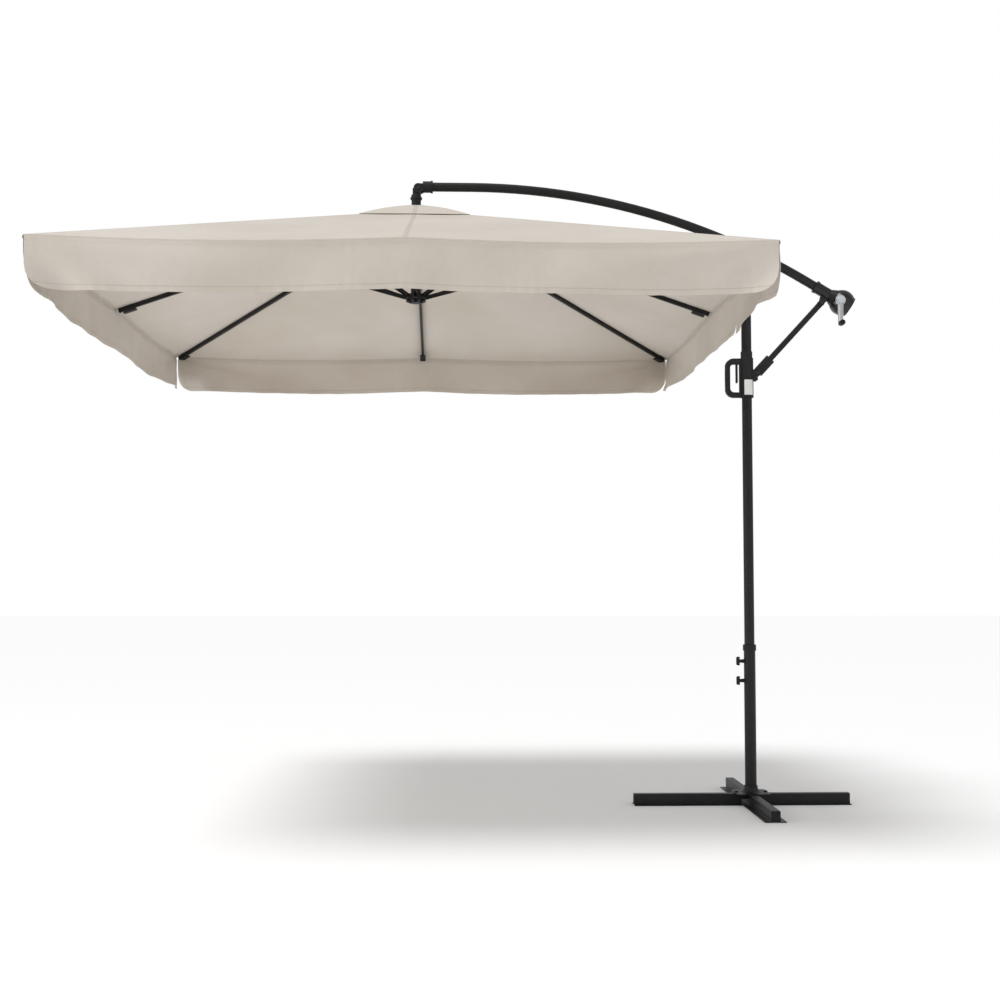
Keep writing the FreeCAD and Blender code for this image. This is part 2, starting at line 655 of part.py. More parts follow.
def winch_spool():
    """The spool in the bell and the shaft that brings the crank's turn to it."""
    x, z = winch_axis()
    core = cross_rod(SPOOL_R - CORD_R - 0.2, x, z, 11.0)
    shapes = [core]
    for low in (-14.0, 11.0):
        shapes.append(rod(SPOOL_R + 9.0, (x, low, z), Y_AXIS, 3.0))
    shapes.append(rod(5.0, (x, -crank_face() - CRANK_PLATE, z), Y_AXIS, crank_face() + CRANK_PLATE))
    save("winch_spool", joined(shapes))


def crank_face():
    """How far the crank's back stands from the boom's plane."""
    return SPHERE_R + 4.0


def crank():
    """The cast arm with its round hub, its recessed panel, and a pin for the knob."""
    x, z = winch_axis()
    face = -crank_face() - CRANK_PLATE
    hub = rod(CRANK_HUB_R, (x, face, z), Y_AXIS, CRANK_PLATE)
    widths = [(-9.5, -CRANK_LENGTH), (9.5, -CRANK_LENGTH), (12.5, -10.0), (-12.5, -10.0)]
    points = [FreeCAD.Vector(x + dx, face + 1.5, z + dz) for dx, dz in widths]
    arm = Part.Face(Part.makePolygon(points + points[:1])).extrude(Y_AXIS * (CRANK_PLATE - 2.5))
    end = rod(9.5, (x, face + 1.5, z - CRANK_LENGTH), Y_AXIS, CRANK_PLATE - 2.5)
    inset = [(-6.0, 6.0 - CRANK_LENGTH), (6.0, 6.0 - CRANK_LENGTH), (9.0, -25.0), (-9.0, -25.0)]
    points = [FreeCAD.Vector(x + dx, face + 1.5, z + dz) for dx, dz in inset]
    recess = Part.Face(Part.makePolygon(points + points[:1])).extrude(Y_AXIS * 1.8)
    pin_top = z - CRANK_LENGTH
    pin = rod(3.0, (x, face + 2.0 - KNOB_LENGTH, pin_top), Y_AXIS, KNOB_LENGTH)
    solid = joined([hub, arm, end]).cut(recess)
    seat = rod(5.0 + SEAT_GAP, (x, face - 1.0, z), Y_AXIS, CRANK_PLATE + 2.0)
    save("crank_arm", joined([solid.cut(seat), pin]))
    cap = joined([
        rod(CRANK_HUB_R - 4.0, (x, face - 2.5, z), Y_AXIS, 2.5),
        rod(CRANK_HUB_R - 6.5, (x, face - 3.5, z), Y_AXIS, 3.5),
    ])
    save("crank_cap", cap)
    knob = rod(KNOB_R, (x, face - KNOB_LENGTH, pin_top), Y_AXIS, KNOB_LENGTH + 1.0)
    knob = knob.makeFillet(3.0, [e for e in knob.Edges if e.BoundBox.YLength < 0.1])
    save("crank_knob", knob.cut(rod(3.0 + SHAFT_GAP, (x, face + 1.5 - KNOB_LENGTH, pin_top), Y_AXIS, 60.0)))


def hoist_cord():
    """The cord from the spool's top through the boom to the pulley, and down the post to the runner."""
    first = tip_pivot()[0]
    path = boom_path(first, boom_point(-WINCH_ALONG))
    save("hoist_cord_run", swept(path, CORD_R, first))
    foot = RUNNER_TOP + 14.0
    top = tip_pivot()[1]
    save("hoist_cord_drop", rod(CORD_R, (-HUB_REACH, 0, foot), Z_AXIS, top - foot))


def tip_pulley():
    x, z = tip_pivot()
    core = cross_rod(PULLEY_R - CORD_R - 0.2, x, z, 4.5)
    flanges = [rod(PULLEY_R + 2.0, (x, low, z), Y_AXIS, 1.5) for low in (-4.5, 3.0)]
    save("tip_pulley", joined([core] + flanges).cut(cross_rod(4.0 + SHAFT_GAP, x, z, 5.0)))


# Canopy frame


def hanger_elbow():
    """The block that hangs in the boom's fork and holds the post."""
    x, z = tip_pivot()
    base = -HUB_REACH
    shapes = [
        cross_rod(17.0, x, z, 16.6),
        box(base - 15.0, base + 14.0, -16.6, 16.6, z - 35.0, z),
        rod(POST_R, (base, 0, z - 45.0), Z_AXIS, 18.0),
        rod(POST_R + 4.0, (base, 0, z - 45.0), Z_AXIS, 7.0),
        rod(POST_R - 1.0, (base, 0, POST_TOP), Z_AXIS, z - 43.0 - POST_TOP),
        rod(POST_R - POST_WALL - 0.1, (base, 0, POST_TOP - 40.0), Z_AXIS, 41.0),
    ]
    cuts = [
        box(x - 14.0, x + 20.0, -5.5, 5.5, z - 13.0, z + 20.0),
        cross_rod(4.0 + SHAFT_GAP, x, z, 18.0),
        rod(2.0 * CORD_R, (base, 0, POST_TOP - 41.0), Z_AXIS, 120.0),
    ]
    save("hanger_elbow", joined(shapes).cut(Part.makeCompound(cuts)))


def hub_post():
    tube = pipe(POST_R, POST_R - POST_WALL, (-HUB_REACH, 0, POST_FOOT), Z_AXIS, POST_TOP - POST_FOOT)
    save("hub_post", tube)


def side_hinge_height():
    """The ribs' tops lie against the cloth, so their hinges take their height from it."""
    half = RIB_HEIGHT / 2.0 / math.cos(math.radians(SIDE_ANGLE))
    return CROWN_HEIGHT - PITCH * HINGE_RADIUS - CLOTH_DROP - half


def corner_hinge_height():
    """A corner rib's top edges stay under the two cloth planes that meet over it."""
    half = RIB_HEIGHT / 2.0 / math.cos(math.radians(CORNER_ANGLE))
    ridge = PITCH * (RIB_WIDTH / 2.0 + 1.0) / math.sqrt(2.0) + 0.1
    return CROWN_HEIGHT - PITCH / math.sqrt(2.0) * HINGE_RADIUS - CLOTH_DROP - ridge - half


def ribs():
    """(name, azimuth, angle below level, hinge height, stretcher joint's distance, reach of the rib)"""
    found = []
    for name, azimuth in SIDES.items():
        reach = HALF - RIB_EDGE_GAP
        found.append((name, azimuth, SIDE_ANGLE, side_hinge_height(), SIDE_JOINT, reach))
    for name, azimuth in CORNERS.items():
        reach = HALF * math.sqrt(2.0) - CORNER_GAP
        found.append((name, azimuth, CORNER_ANGLE, corner_hinge_height(), CORNER_JOINT, reach))
    return found


def top_hub():
    """The slotted crown that carries the ribs' hinge pins."""
    solid = pipe(HUB_R, POST_R + SEAT_GAP, (0, 0, HUB_UNDER), Z_AXIS, HUB_TOP - HUB_UNDER)
    half = RIB_WIDTH / 2.0 + 0.4
    slots, pins = [], []
    for _, azimuth, _, height, _, _ in ribs():
        slot = box(25.0, HUB_R + 1.0, -half, half, HUB_UNDER - 1.0, HUB_TOP + 1.0)
        pin = cross_rod(HINGE_PIN_R, HINGE_RADIUS, height, half + 2.0)
        slot.rotate(ORIGIN, Z_AXIS, azimuth)
        pin.rotate(ORIGIN, Z_AXIS, azimuth)
        slots.append(slot)
        pins.append(pin)
    solid = joined([solid.cut(Part.makeCompound(slots))] + pins)
    solid.translate(FreeCAD.Vector(-HUB_REACH, 0, 0))
    save("top_hub", solid)


def runner():
    """The lower crown, with a spigot that seats in the post and eight open slots."""
    middle = RUNNER_PIVOT_HEIGHT
    solid = spun([
        (0, RUNNER_UNDER), (RUNNER_CORE_R + 2.0, RUNNER_UNDER),
        (RUNNER_R, middle - 14.0), (RUNNER_R, middle + 14.0),
        (RUNNER_CORE_R - 2.0, RUNNER_TOP), (POST_R - POST_WALL - SIDE_GAP, RUNNER_TOP),
        (POST_R - POST_WALL - SIDE_GAP - 2.0, RUNNER_TOP + 13.0), (0, RUNNER_TOP + 13.0),
    ])
    half = RIB_WIDTH / 2.0 + SIDE_GAP + STRETCHER_WALL + SIDE_GAP
    slots = []
    for azimuth in range(0, 360, 45):
        slot = box(RUNNER_CORE_R, RUNNER_R + 1.0, -half, half, RUNNER_UNDER - 1.0, RUNNER_TOP + 1.0)
        slot.rotate(ORIGIN, Z_AXIS, azimuth)
        slots.append(slot)
    solid = solid.cut(Part.makeCompound(slots))
    solid.translate(FreeCAD.Vector(-HUB_REACH, 0, 0))
    save("runner", solid)


def rib(name, azimuth, angle, height, joint, reach):
    """A thin box tube with its end plug and the pin of its stretcher."""
    cosine = math.cos(math.radians(angle))
    length = (reach - HINGE_RADIUS) / cosine - RIB_PLUG
    half_y, half_z = RIB_WIDTH / 2.0, RIB_HEIGHT / 2.0
    inner_y, inner_z = half_y - RIB_WALL, half_z - RIB_WALL
    tube = joined([box(0, length, -half_y, half_y, -half_z, half_z), cross_rod(half_z, 0, 0, half_y)])
    tube = tube.cut(Part.makeCompound([
        box(12.0, length, -inner_y, inner_y, -inner_z, inner_z),
        cross_rod(HINGE_PIN_R + SHAFT_GAP, 0, 0, half_y + 1.0),
        cross_rod(JOINT_PIN_R + SEAT_GAP, joint, 0, half_y + 1.0),
    ]))
    plug = box(length, length + RIB_PLUG, -half_y - 1.0, half_y + 1.0, -half_z - 1.0, half_z)
    wall = half_y + SIDE_GAP + STRETCHER_WALL + SHAFT_GAP
    pin = joined([
        cross_rod(JOINT_PIN_R, joint, 0, wall + 0.5),
        rod(4.0, (joint, -wall - 1.5, 0), Y_AXIS, 1.4),
        rod(4.0, (joint, wall + 0.1, 0), Y_AXIS, 1.4),
    ])
    solids = [tilted(solid, HINGE_RADIUS, height, angle) for solid in (tube, plug, pin)]
    save("rib_" + name, *[at_azimuth(solid, azimuth) for solid in solids])


def stretcher(name, azimuth, angle, height, joint):
    """A channel, open underneath, from the runner to its rib, whose end straddles the rib."""
    x = HINGE_RADIUS + joint * math.cos(math.radians(angle))
    z = height - joint * math.sin(math.radians(angle))
    dx, dz = x - RUNNER_RADIUS, z - RUNNER_PIVOT_HEIGHT
    length = math.hypot(dx, dz)
    gap = RIB_WIDTH / 2.0 + SIDE_GAP
    wide = gap + STRETCHER_WALL
    low, high = -STRETCHER_DEPTH / 2.0 + 0.5, STRETCHER_DEPTH / 2.0 + 0.5
    open_at = length - STRETCHER_OPEN
    channel = joined([
        box(6.0, open_at, -wide, wide, low, high),
        box(open_at, length, -wide, wide, low, 5.0),
        cross_rod(6.5, length, 0, wide),
    ])
    channel = channel.cut(Part.makeCompound([
        box(14.0, open_at, -gap, gap, low - 1.0, high - STRETCHER_WALL),
        box(open_at - 1.0, length + 9.0, -gap, gap, low - 1.0, high - STRETCHER_WALL),
    ]))
    root = joined([box(0, 14.0, -wide, wide, -6.0, 6.0), cross_rod(6.0, 0, 0, wide)])
    solid = joined([channel, root])
    solid = solid.cut(Part.makeCompound([
        cross_rod(JOINT_PIN_R + SHAFT_GAP, length, 0, wide + 1.0),
        cross_rod(HINGE_PIN_R + SHAFT_GAP, 0, 0, wide + 1.0),
    ]))
    up = -math.degrees(math.atan2(dz, dx))
    save("stretcher_" + name, at_azimuth(tilted(solid, RUNNER_RADIUS, RUNNER_PIVOT_HEIGHT, up), azimuth))


# Cloth


def slab(outline, height_at):
    """A thin cloth slab whose top follows a plane: points are (x, y) from the canopy's axis."""
    points = [FreeCAD.Vector(x, y, height_at(x)) for x, y in outline]
    return Part.Face(Part.makePolygon(points + points[:1])).extrude(FreeCAD.Vector(0, 0, -CLOTH_DROP))


def cloth_height(x):
    return CROWN_HEIGHT - PITCH * x


def cap_height(x):
    return CAP_TOP - (CAP_TOP - CAP_RIM) * (x - CAP_MOUTH_HALF) / (CAP_HALF - CAP_MOUTH_HALF)


def canopy_side(name, azimuth):
    """The kite of cloth over a side rib, its valance, and its flap of the vent cap."""
    inner, outer = VENT_HALF, HALF
    near, far = inner * KITE, outer * KITE
    top = slab([(inner, -near), (outer, -far), (outer, far), (inner, near)], cloth_height)
    high = EDGE_HEIGHT - CLOTH_DROP
    valance = box(outer - CLOTH, outer, -outer * KITE, outer * KITE, high - VALANCE_DROP, high)
    mouth, rim = CAP_MOUTH_HALF, CAP_HALF
    flap = slab([(mouth, -mouth), (rim, -rim), (rim, rim), (mouth, mouth)], cap_height)
    save("canopy_side_" + name, *[at_azimuth(solid, azimuth) for solid in (top, valance, flap)])


def corner_valance():
    """The flap beside a corner on the +X side, rounded at its free lower corner."""
    high = EDGE_HEIGHT - CLOTH_DROP
    flap = box(HALF - CLOTH, HALF, HALF * KITE, HALF - CORNER_SLIT / 2.0, high - VALANCE_DROP, high)
    free = [
        edge
        for edge in flap.Edges
        if edge.BoundBox.XLength > CLOTH / 2.0
        and edge.CenterOfMass.y > HALF - CORNER_SLIT
        and edge.CenterOfMass.z < high - VALANCE_DROP + 1.0
    ]
    return flap.makeFillet(min(VALANCE_CORNER, VALANCE_DROP / 2.0), free)


def mirrored(shape):
    """Mirror across the vertical plane of the 45-degree rib."""
    return shape.mirror(ORIGIN, FreeCAD.Vector(1, -1, 0).normalize())


def canopy_corner(name, azimuth):
    """The two halves of the cloth that fold over a corner rib, each with its piece of valance."""
    inner, outer = VENT_HALF, HALF
    top = slab([(inner, inner * KITE), (outer, outer * KITE), (outer, outer), (inner, inner)], cloth_height)
    flap = corner_valance()
    solids = [top, flap, mirrored(top), mirrored(flap)]
    save("canopy_corner_" + name, *[at_azimuth(solid, azimuth - 45.0) for solid in solids])


def main():
    os.makedirs("parts", exist_ok=True)
    base_beams()
    base_flange()
    base_fasteners()
    lower_mast()
    mast_collar()
    wing_screw("wing_screw_upper", SCREW_HEIGHTS[0])
    wing_screw("wing_screw_lower", SCREW_HEIGHTS[1])
    upper_mast()
    mast_head()
    head_bolt()
    slider()
    release_lever()
    slider_label()
    strut()
    boom_tube()
    boom_pins()
    tip_fitting()
    boom_screws()
    housing()
    winch_spool()
    crank()
    hoist_cord()
    tip_pulley()
    hanger_elbow()
    hub_post()
    top_hub()
    runner()
    for name, azimuth, angle, height, joint, reach in ribs():
        rib(name, azimuth, angle, height, joint, reach)
        stretcher(name, azimuth, angle, height, joint)
    for name, azimuth in SIDES.items():
        canopy_side(name, azimuth)
    for name, azimuth in CORNERS.items():
        canopy_corner(name, azimuth)


main()
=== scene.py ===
"""A cantilever parasol: cross foot, swivelling mast, bent boom with a winch, and a square fabric canopy."""

from __future__ import annotations

import json
import logging
from dataclasses import dataclass, field
from enum import Enum
from math import cos, hypot, pi, radians, sin, sqrt, tan
from typing import Callable, Iterable, Sequence, Union

import bpy
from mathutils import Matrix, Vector

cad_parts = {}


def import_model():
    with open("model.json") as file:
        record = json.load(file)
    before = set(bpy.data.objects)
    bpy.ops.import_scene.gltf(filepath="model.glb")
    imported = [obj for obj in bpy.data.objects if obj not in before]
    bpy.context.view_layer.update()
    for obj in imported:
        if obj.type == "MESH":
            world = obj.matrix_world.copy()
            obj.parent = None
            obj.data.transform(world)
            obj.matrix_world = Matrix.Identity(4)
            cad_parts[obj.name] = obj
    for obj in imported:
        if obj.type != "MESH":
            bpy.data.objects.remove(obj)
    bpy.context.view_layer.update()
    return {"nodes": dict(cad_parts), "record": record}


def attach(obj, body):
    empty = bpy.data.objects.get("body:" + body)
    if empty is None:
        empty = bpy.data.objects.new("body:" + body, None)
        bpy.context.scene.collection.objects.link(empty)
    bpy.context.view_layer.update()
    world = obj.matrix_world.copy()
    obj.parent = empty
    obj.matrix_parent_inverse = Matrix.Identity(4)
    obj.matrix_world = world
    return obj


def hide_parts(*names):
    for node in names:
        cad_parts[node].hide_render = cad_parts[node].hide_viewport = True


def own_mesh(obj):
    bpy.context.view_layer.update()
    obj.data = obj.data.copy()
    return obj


LOG = logging.getLogger("parasol")
Point = tuple[float, float, float]
Mark = tuple[float, float]
Column = tuple[list[Point], list[Mark]]
Patch = tuple[list[list[Point]], list[list[Mark]]]


class Coat(Enum):
    """The finishes of the parasol, by a maker's name."""

    POWDER = "black powder coat"
    MOULDED = "moulded black plastic"
    SHELL = "polished black plastic"
    HARDWARE = "black plated hardware"
    CHROME = "chromed casting"
    CLEAR = "clear domed plastic"
    STEEL = "turned steel"
    CORD = "braided cord"
    LABEL = "blank paper label"
    NYLON = "white nylon"
    CLOTH = "ecru canopy cloth"


SLOT_COATS: dict[str, Coat] = {
    "canopy_cloth": Coat.CLOTH,
    "rib_paint": Coat.POWDER,
    "base_paint": Coat.POWDER,
    "tube_paint": Coat.POWDER,
    "zinc_fastener": Coat.HARDWARE,
    "crank_chrome": Coat.CHROME,
    "clear_cap": Coat.CLEAR,
    "spool_steel": Coat.STEEL,
    "cord": Coat.CORD,
    "label": Coat.LABEL,
    "pulley_nylon": Coat.NYLON,
    "housing_plastic": Coat.SHELL,
    "knob_plastic": Coat.MOULDED,
    "moulded_plastic": Coat.MOULDED,
}


# Finishes


class Signal:
    """A shader socket that takes part in ordinary Python arithmetic."""

    def __init__(self, plan: "Plan", socket: bpy.types.NodeSocket) -> None:
        """Wrap one output socket of a material's plan."""
        self.plan = plan
        self.socket = socket

    def _with(self, kind: str, first: "Input", second: "Input") -> "Signal":
        """Add one Math node.

        Args:
            kind: the node's operation.
            first: its first value.
            second: its second value.

        Returns:
            The node's result.
        """
        return self.plan.node("ShaderNodeMath", {"operation": kind}, {0: first, 1: second})

    def __add__(self, other: "Input") -> "Signal":
        """Add."""
        return self._with("ADD", self, other)

    __radd__ = __add__

    def __sub__(self, other: "Input") -> "Signal":
        """Subtract."""
        return self._with("SUBTRACT", self, other)

    def __rsub__(self, other: "Input") -> "Signal":
        """Subtract from a number."""
        return self._with("SUBTRACT", other, self)

    def __mul__(self, other: "Input") -> "Signal":
        """Multiply."""
        return self._with("MULTIPLY", self, other)

    __rmul__ = __mul__

    def __truediv__(self, other: "Input") -> "Signal":
        """Divide."""
        return self._with("DIVIDE", self, other)

    def less(self, other: "Input") -> "Signal":
        """One where this is below the other, and zero elsewhere."""
        return self._with("LESS_THAN", self, other)

    def apply(self, kind: str) -> "Signal":
        """Put this through a Math node of one input, such as SINE or ABSOLUTE."""
        return self.plan.node("ShaderNodeMath", {"operation": kind}, {0: self})


Input = Union[Signal, float, Sequence[float]]


class Plan:
    """The node plan of one material."""

    def __init__(self, name: str) -> None:
        """Start a material with only its shader and output.

        Args:
            name: the material's name.
        """
        self.material = bpy.data.materials.new(name)
        self.material.use_nodes = True
        self.tree = self.material.node_tree
        self.shader = next(n for n in self.tree.nodes if n.type == "BSDF_PRINCIPLED")

    def node(
        self, kind: str, settings: dict[str, object], inputs: dict[object, Input], out: object = 0
    ) -> Signal:
        """Add any node.

        Args:
            kind: the node's type.
            settings: what is set on the node before its sockets; "stops" fills a ramp.
            inputs: the values or links of its sockets, by name or number.
            out: which output is handed back.

        Returns:
            The chosen output.
        """
        made = self.tree.nodes.new(kind)
        for key, value in settings.items():
            if key == "stops":
                self._fill(made.color_ramp, value)
            else:
                setattr(made, key, value)
        for key, value in inputs.items():
            if isinstance(value, Signal):
                self.tree.links.new(value.socket, made.inputs[key])
            else:
                made.inputs[key].default_value = value
        return Signal(self, made.outputs[out])

    @staticmethod
    def _fill(ramp: bpy.types.ColorRamp, stops: Sequence[tuple[float, Sequence[float]]]) -> None:
        """Give a ramp its stops.

        Args:
            ramp: the ramp.
            stops: (place, colour) pairs, two or more.
        """
        while len(ramp.elements) < len(stops):
            ramp.elements.new(0.5)
        for element, (place, colour) in zip(ramp.elements, stops):
            element.position = place
            element.color = (*colour, 1.0)

    def place(self) -> Signal:
        """Object coordinates, which are the row frame's metres."""
        return self.node("ShaderNodeTexCoord", {}, {}, "Object")

    def noise(self, scale: float, detail: float = 3.0, at: Signal | None = None) -> Signal:
        """A noise value.

        Args:
            scale: how fine it is, per metre.
            detail: how many finer layers it has.
            at: where it is read, Object coordinates if left out.

        Returns:
            Its value, about 0.3 to 0.7.
        """
        return self.node(
            "ShaderNodeTexNoise", {}, {"Vector": at or self.place(), "Scale": scale, "Detail": detail}, 0
        )

    def ramp(self, value: Signal, stops: Sequence[tuple[float, Sequence[float]]]) -> Signal:
        """Turn a value into a colour.

        Args:
            value: what is looked up.
            stops: (place, colour) pairs.

        Returns:
            The colour for each value.
        """
        return self.node("ShaderNodeValToRGB", {"stops": stops}, {"Fac": value}, "Color")

    def mix(self, share: Input, first: Input, second: Input) -> Signal:
        """Blend two colours.

        Args:
            share: how much of the second.
            first: the first colour.
            second: the second colour.

        Returns:
            The blended colour.
        """
        return self.node(
            "ShaderNodeMix", {"data_type": "RGBA"}, {0: share, 6: first, 7: second}, 2
        )

    def set(self, **sockets: Input) -> None:
        """Set the shader's sockets.

        Args:
            sockets: a value or link for each socket; an underscore in a name stands for a space.
        """
        for key, value in sockets.items():
            socket = self.shader.inputs[key.replace("_", " ")]
            if isinstance(value, Signal):
                self.tree.links.new(value.socket, socket)
            else:
                socket.default_value = value

    def relief(self, height: Signal, depth: float, strength: float = 1.0) -> None:
        """Raise the surface.

        Args:
            height: the height, from 0 to 1.
            depth: how many metres a height of 1 stands.
            strength: the Bump node's strength.
        """
        bump = self.node(
            "ShaderNodeBump", {}, {"Height": height, "Distance": depth, "Strength": strength}, 0
        )
        self.set(Normal=bump)


@dataclass(frozen=True)
class Paint:
    """A hard finish: a base tone, its drift, its gloss and its grain."""

    dark: tuple[float, float, float]
    light: tuple[float, float, float]
    gloss: float
    drift: float
    grain: float
    grain_depth: float
    metal: float = 0.0
    coat: float = 0.0
    streak: float = 0.0
    shine: float = 0.34

    def make(self, name: str) -> bpy.types.Material:
        """Build the material.

        Args:
            name: the material's name.

        Returns:
            The finished material.
        """
        plan = Plan(name)
        broad = plan.noise(6.0, 4.0)
        dust = plan.noise(70.0, 5.0)
        tone = broad * 0.6 + dust * 0.4
        plan.set(Base_Color=plan.ramp(tone, [(0.35, self.dark), (0.68, self.light)]))
        rough = dust * self.drift + (self.gloss - 0.5 * self.drift)
        if self.streak:
            squeezed = plan.node(
                "ShaderNodeMapping", {}, {"Vector": plan.place(), "Scale": (9.0, 240.0, 240.0)}, 0
            )
            rough = rough + (plan.noise(1.0, 4.0, squeezed) - 0.5) * self.streak
        plan.set(Roughness=rough)
        plan.set(Metallic=self.metal, Coat_Weight=self.coat, Coat_Roughness=0.22)
        plan.set(Specular_IOR_Level=self.shine)
        plan.relief(plan.noise(self.grain, 2.0), self.grain_depth)
        return plan.material


@dataclass(frozen=True)
class ClothFinish:
    """The canopy's woven cover, with its stitch lines, painted shade along the fold and painted shade in the
    crease hollows. U and V are metres along the cloth.
    """

    pale: tuple[float, float, float] = (0.645, 0.590, 0.530)
    warm: tuple[float, float, float] = (0.575, 0.515, 0.440)
    thread: tuple[float, float, float] = (0.42, 0.37, 0.31)
    yarn: float = 0.0011
    stitch: float = 0.0035
    run: float = 1.242
    drop: float = 0.172
    mouth: float = 0.075
    rise: float = 1.057
    seam_half: float = 0.007
    ridge_half: float = 0.009
    # Half the width of the painted shade line along the fold where the top turns down into the valance.
    painted_fold_shade_half: float = 0.0030
    thread_half: float = 0.0012
    dash_share: float = 0.35

    def make(self, name: str) -> bpy.types.Material:
        """Build the material.

        Args:
            name: the material's name.

        Returns:
            The finished material.
        """
        plan = Plan(name)
        uv = plan.node("ShaderNodeUVMap", {"uv_map": "cloth"}, {}, 0)
        across = plan.node("ShaderNodeSeparateXYZ", {}, {"Vector": uv}, "X")
        along = Signal(plan, across.socket.node.outputs["Y"])
        warp = (across * (2 * pi / self.yarn)).apply("SINE")
        weft = (along * (2 * pi / self.yarn)).apply("SINE")
        weave = warp * weft * 0.5 + 0.5
        slub = plan.noise(260.0, 3.0)
        sewn = self._lines(along, (self.run - 0.006, self.run + 0.005, self.run + self.drop - 0.018))
        dash = (across * (2 * pi / self.stitch)).apply("SINE").less(self.dash_share)
        side = across.apply("ABSOLUTE")
        ridge = (side - (along / self.rise + self.mouth)).apply("ABSOLUTE")
        slope = along.less(self.run - 0.01)
        felled = (side.less(self.seam_half) + ridge.less(self.ridge_half)) * slope
        run_dash = (along * (2 * pi / self.stitch)).apply("SINE").less(self.dash_share)
        side_row = (side - 0.0055).apply("ABSOLUTE").less(0.0009)
        ridge_row = (ridge - 0.0072).apply("ABSOLUTE").less(0.0011)
        rows = (side_row + ridge_row) * slope
        thread = sewn * dash + rows * run_dash
        crease = plan.noise(7.0, 6.0)
        # Tone: random noise and slub, plus the crease noise that also raises the bump. The crease hollows are
        # therefore painted darker, which is painted shade.
        drift = plan.noise(2.2, 4.0) * 0.6 + crease * 0.15 + slub * 0.25
        body = plan.ramp(drift, [(0.36, self.warm), (0.62, self.pale)])
        # Painted shade: a darker line along the fold where the top turns down into the valance, mixed towards
        # the thread colour. It has no relief of its own.
        painted_fold_shade = (along - self.run).apply("ABSOLUTE").less(self.painted_fold_shade_half)
        seams_and_painted_fold_shade = plan.mix(felled * 0.35 + painted_fold_shade * 0.55, body, (*self.thread, 1.0))
        plan.set(Base_Color=plan.mix(thread * 0.8, seams_and_painted_fold_shade, (*self.thread, 1.0)))
        plan.set(Roughness=slub * 0.12 + 0.78, Specular_IOR_Level=0.25)
        plan.set(Sheen_Weight=0.25, Sheen_Roughness=0.5)
        fine = weave * 0.35 + slub * 0.3 - sewn * 0.5 + thread * 0.9 + felled * 1.2
        plan.relief(fine + crease * (slope * -9.0 + 16.0), 0.0006, 0.85)
        return plan.material

    def _lines(self, along: Signal, places: Sequence[float]) -> Signal:
        """Mark narrow bands across the cloth.

        Args:
            along: the distance down the cloth.
            places: the middle of each band.

        Returns:
            One in a band and zero outside.
        """
        bands = [(along - place).apply("ABSOLUTE").less(self.thread_half) for place in places]
        total = bands[0]
        for band in bands[1:]:
            total = total + band
        return total


class Finishes:
    """Makes each finish once and hands it out."""

    PAINTS: dict[Coat, Paint] = {
        Coat.POWDER: Paint((0.005, 0.005, 0.0055), (0.011, 0.011, 0.012), 0.42, 0.14, 900.0, 0.00012),
        Coat.MOULDED: Paint((0.006, 0.006, 0.0065), (0.014, 0.014, 0.0145), 0.58, 0.14, 2200.0, 0.00010),
        Coat.SHELL: Paint(
            (0.004, 0.004, 0.0045), (0.009, 0.009, 0.0095), 0.26, 0.12, 1500.0, 0.00006, coat=0.2
        ),
        Coat.HARDWARE: Paint(
            (0.03, 0.03, 0.032), (0.07, 0.07, 0.072), 0.34, 0.18, 1200.0, 0.00006, metal=0.8
        ),
        Coat.CHROME: Paint((0.62, 0.62, 0.63), (0.78, 0.78, 0.79), 0.20, 0.12, 1400.0, 0.00010, metal=1.0),
        Coat.CLEAR: Paint((0.50, 0.53, 0.57), (0.62, 0.65, 0.69), 0.10, 0.05, 300.0, 0.00002, coat=1.0),
        Coat.STEEL: Paint(
            (0.42, 0.42, 0.43), (0.58, 0.58, 0.59), 0.32, 0.14, 900.0, 0.00004, metal=1.0, streak=0.3
        ),
        Coat.CORD: Paint((0.04, 0.04, 0.04), (0.10, 0.10, 0.10), 0.85, 0.10, 1600.0, 0.0003),
        Coat.LABEL: Paint((0.74, 0.74, 0.72), (0.84, 0.84, 0.82), 0.50, 0.10, 800.0, 0.00003),
        Coat.NYLON: Paint((0.60, 0.60, 0.56), (0.72, 0.72, 0.68), 0.45, 0.10, 900.0, 0.00005),
    }

    def __init__(self) -> None:
        """Start with nothing made."""
        self._made: dict[Coat, bpy.types.Material] = {}

    def get(self, coat: Coat) -> bpy.types.Material:
        """Hand out a finish.

        Args:
            coat: which finish.

        Returns:
            Its material, made on first use.
        """
        if coat not in self._made:
            name = coat.value.replace(" ", "_")
            maker = ClothFinish() if coat is Coat.CLOTH else self.PAINTS[coat]
            self._made[coat] = maker.make(name)
        return self._made[coat]


# Modelling


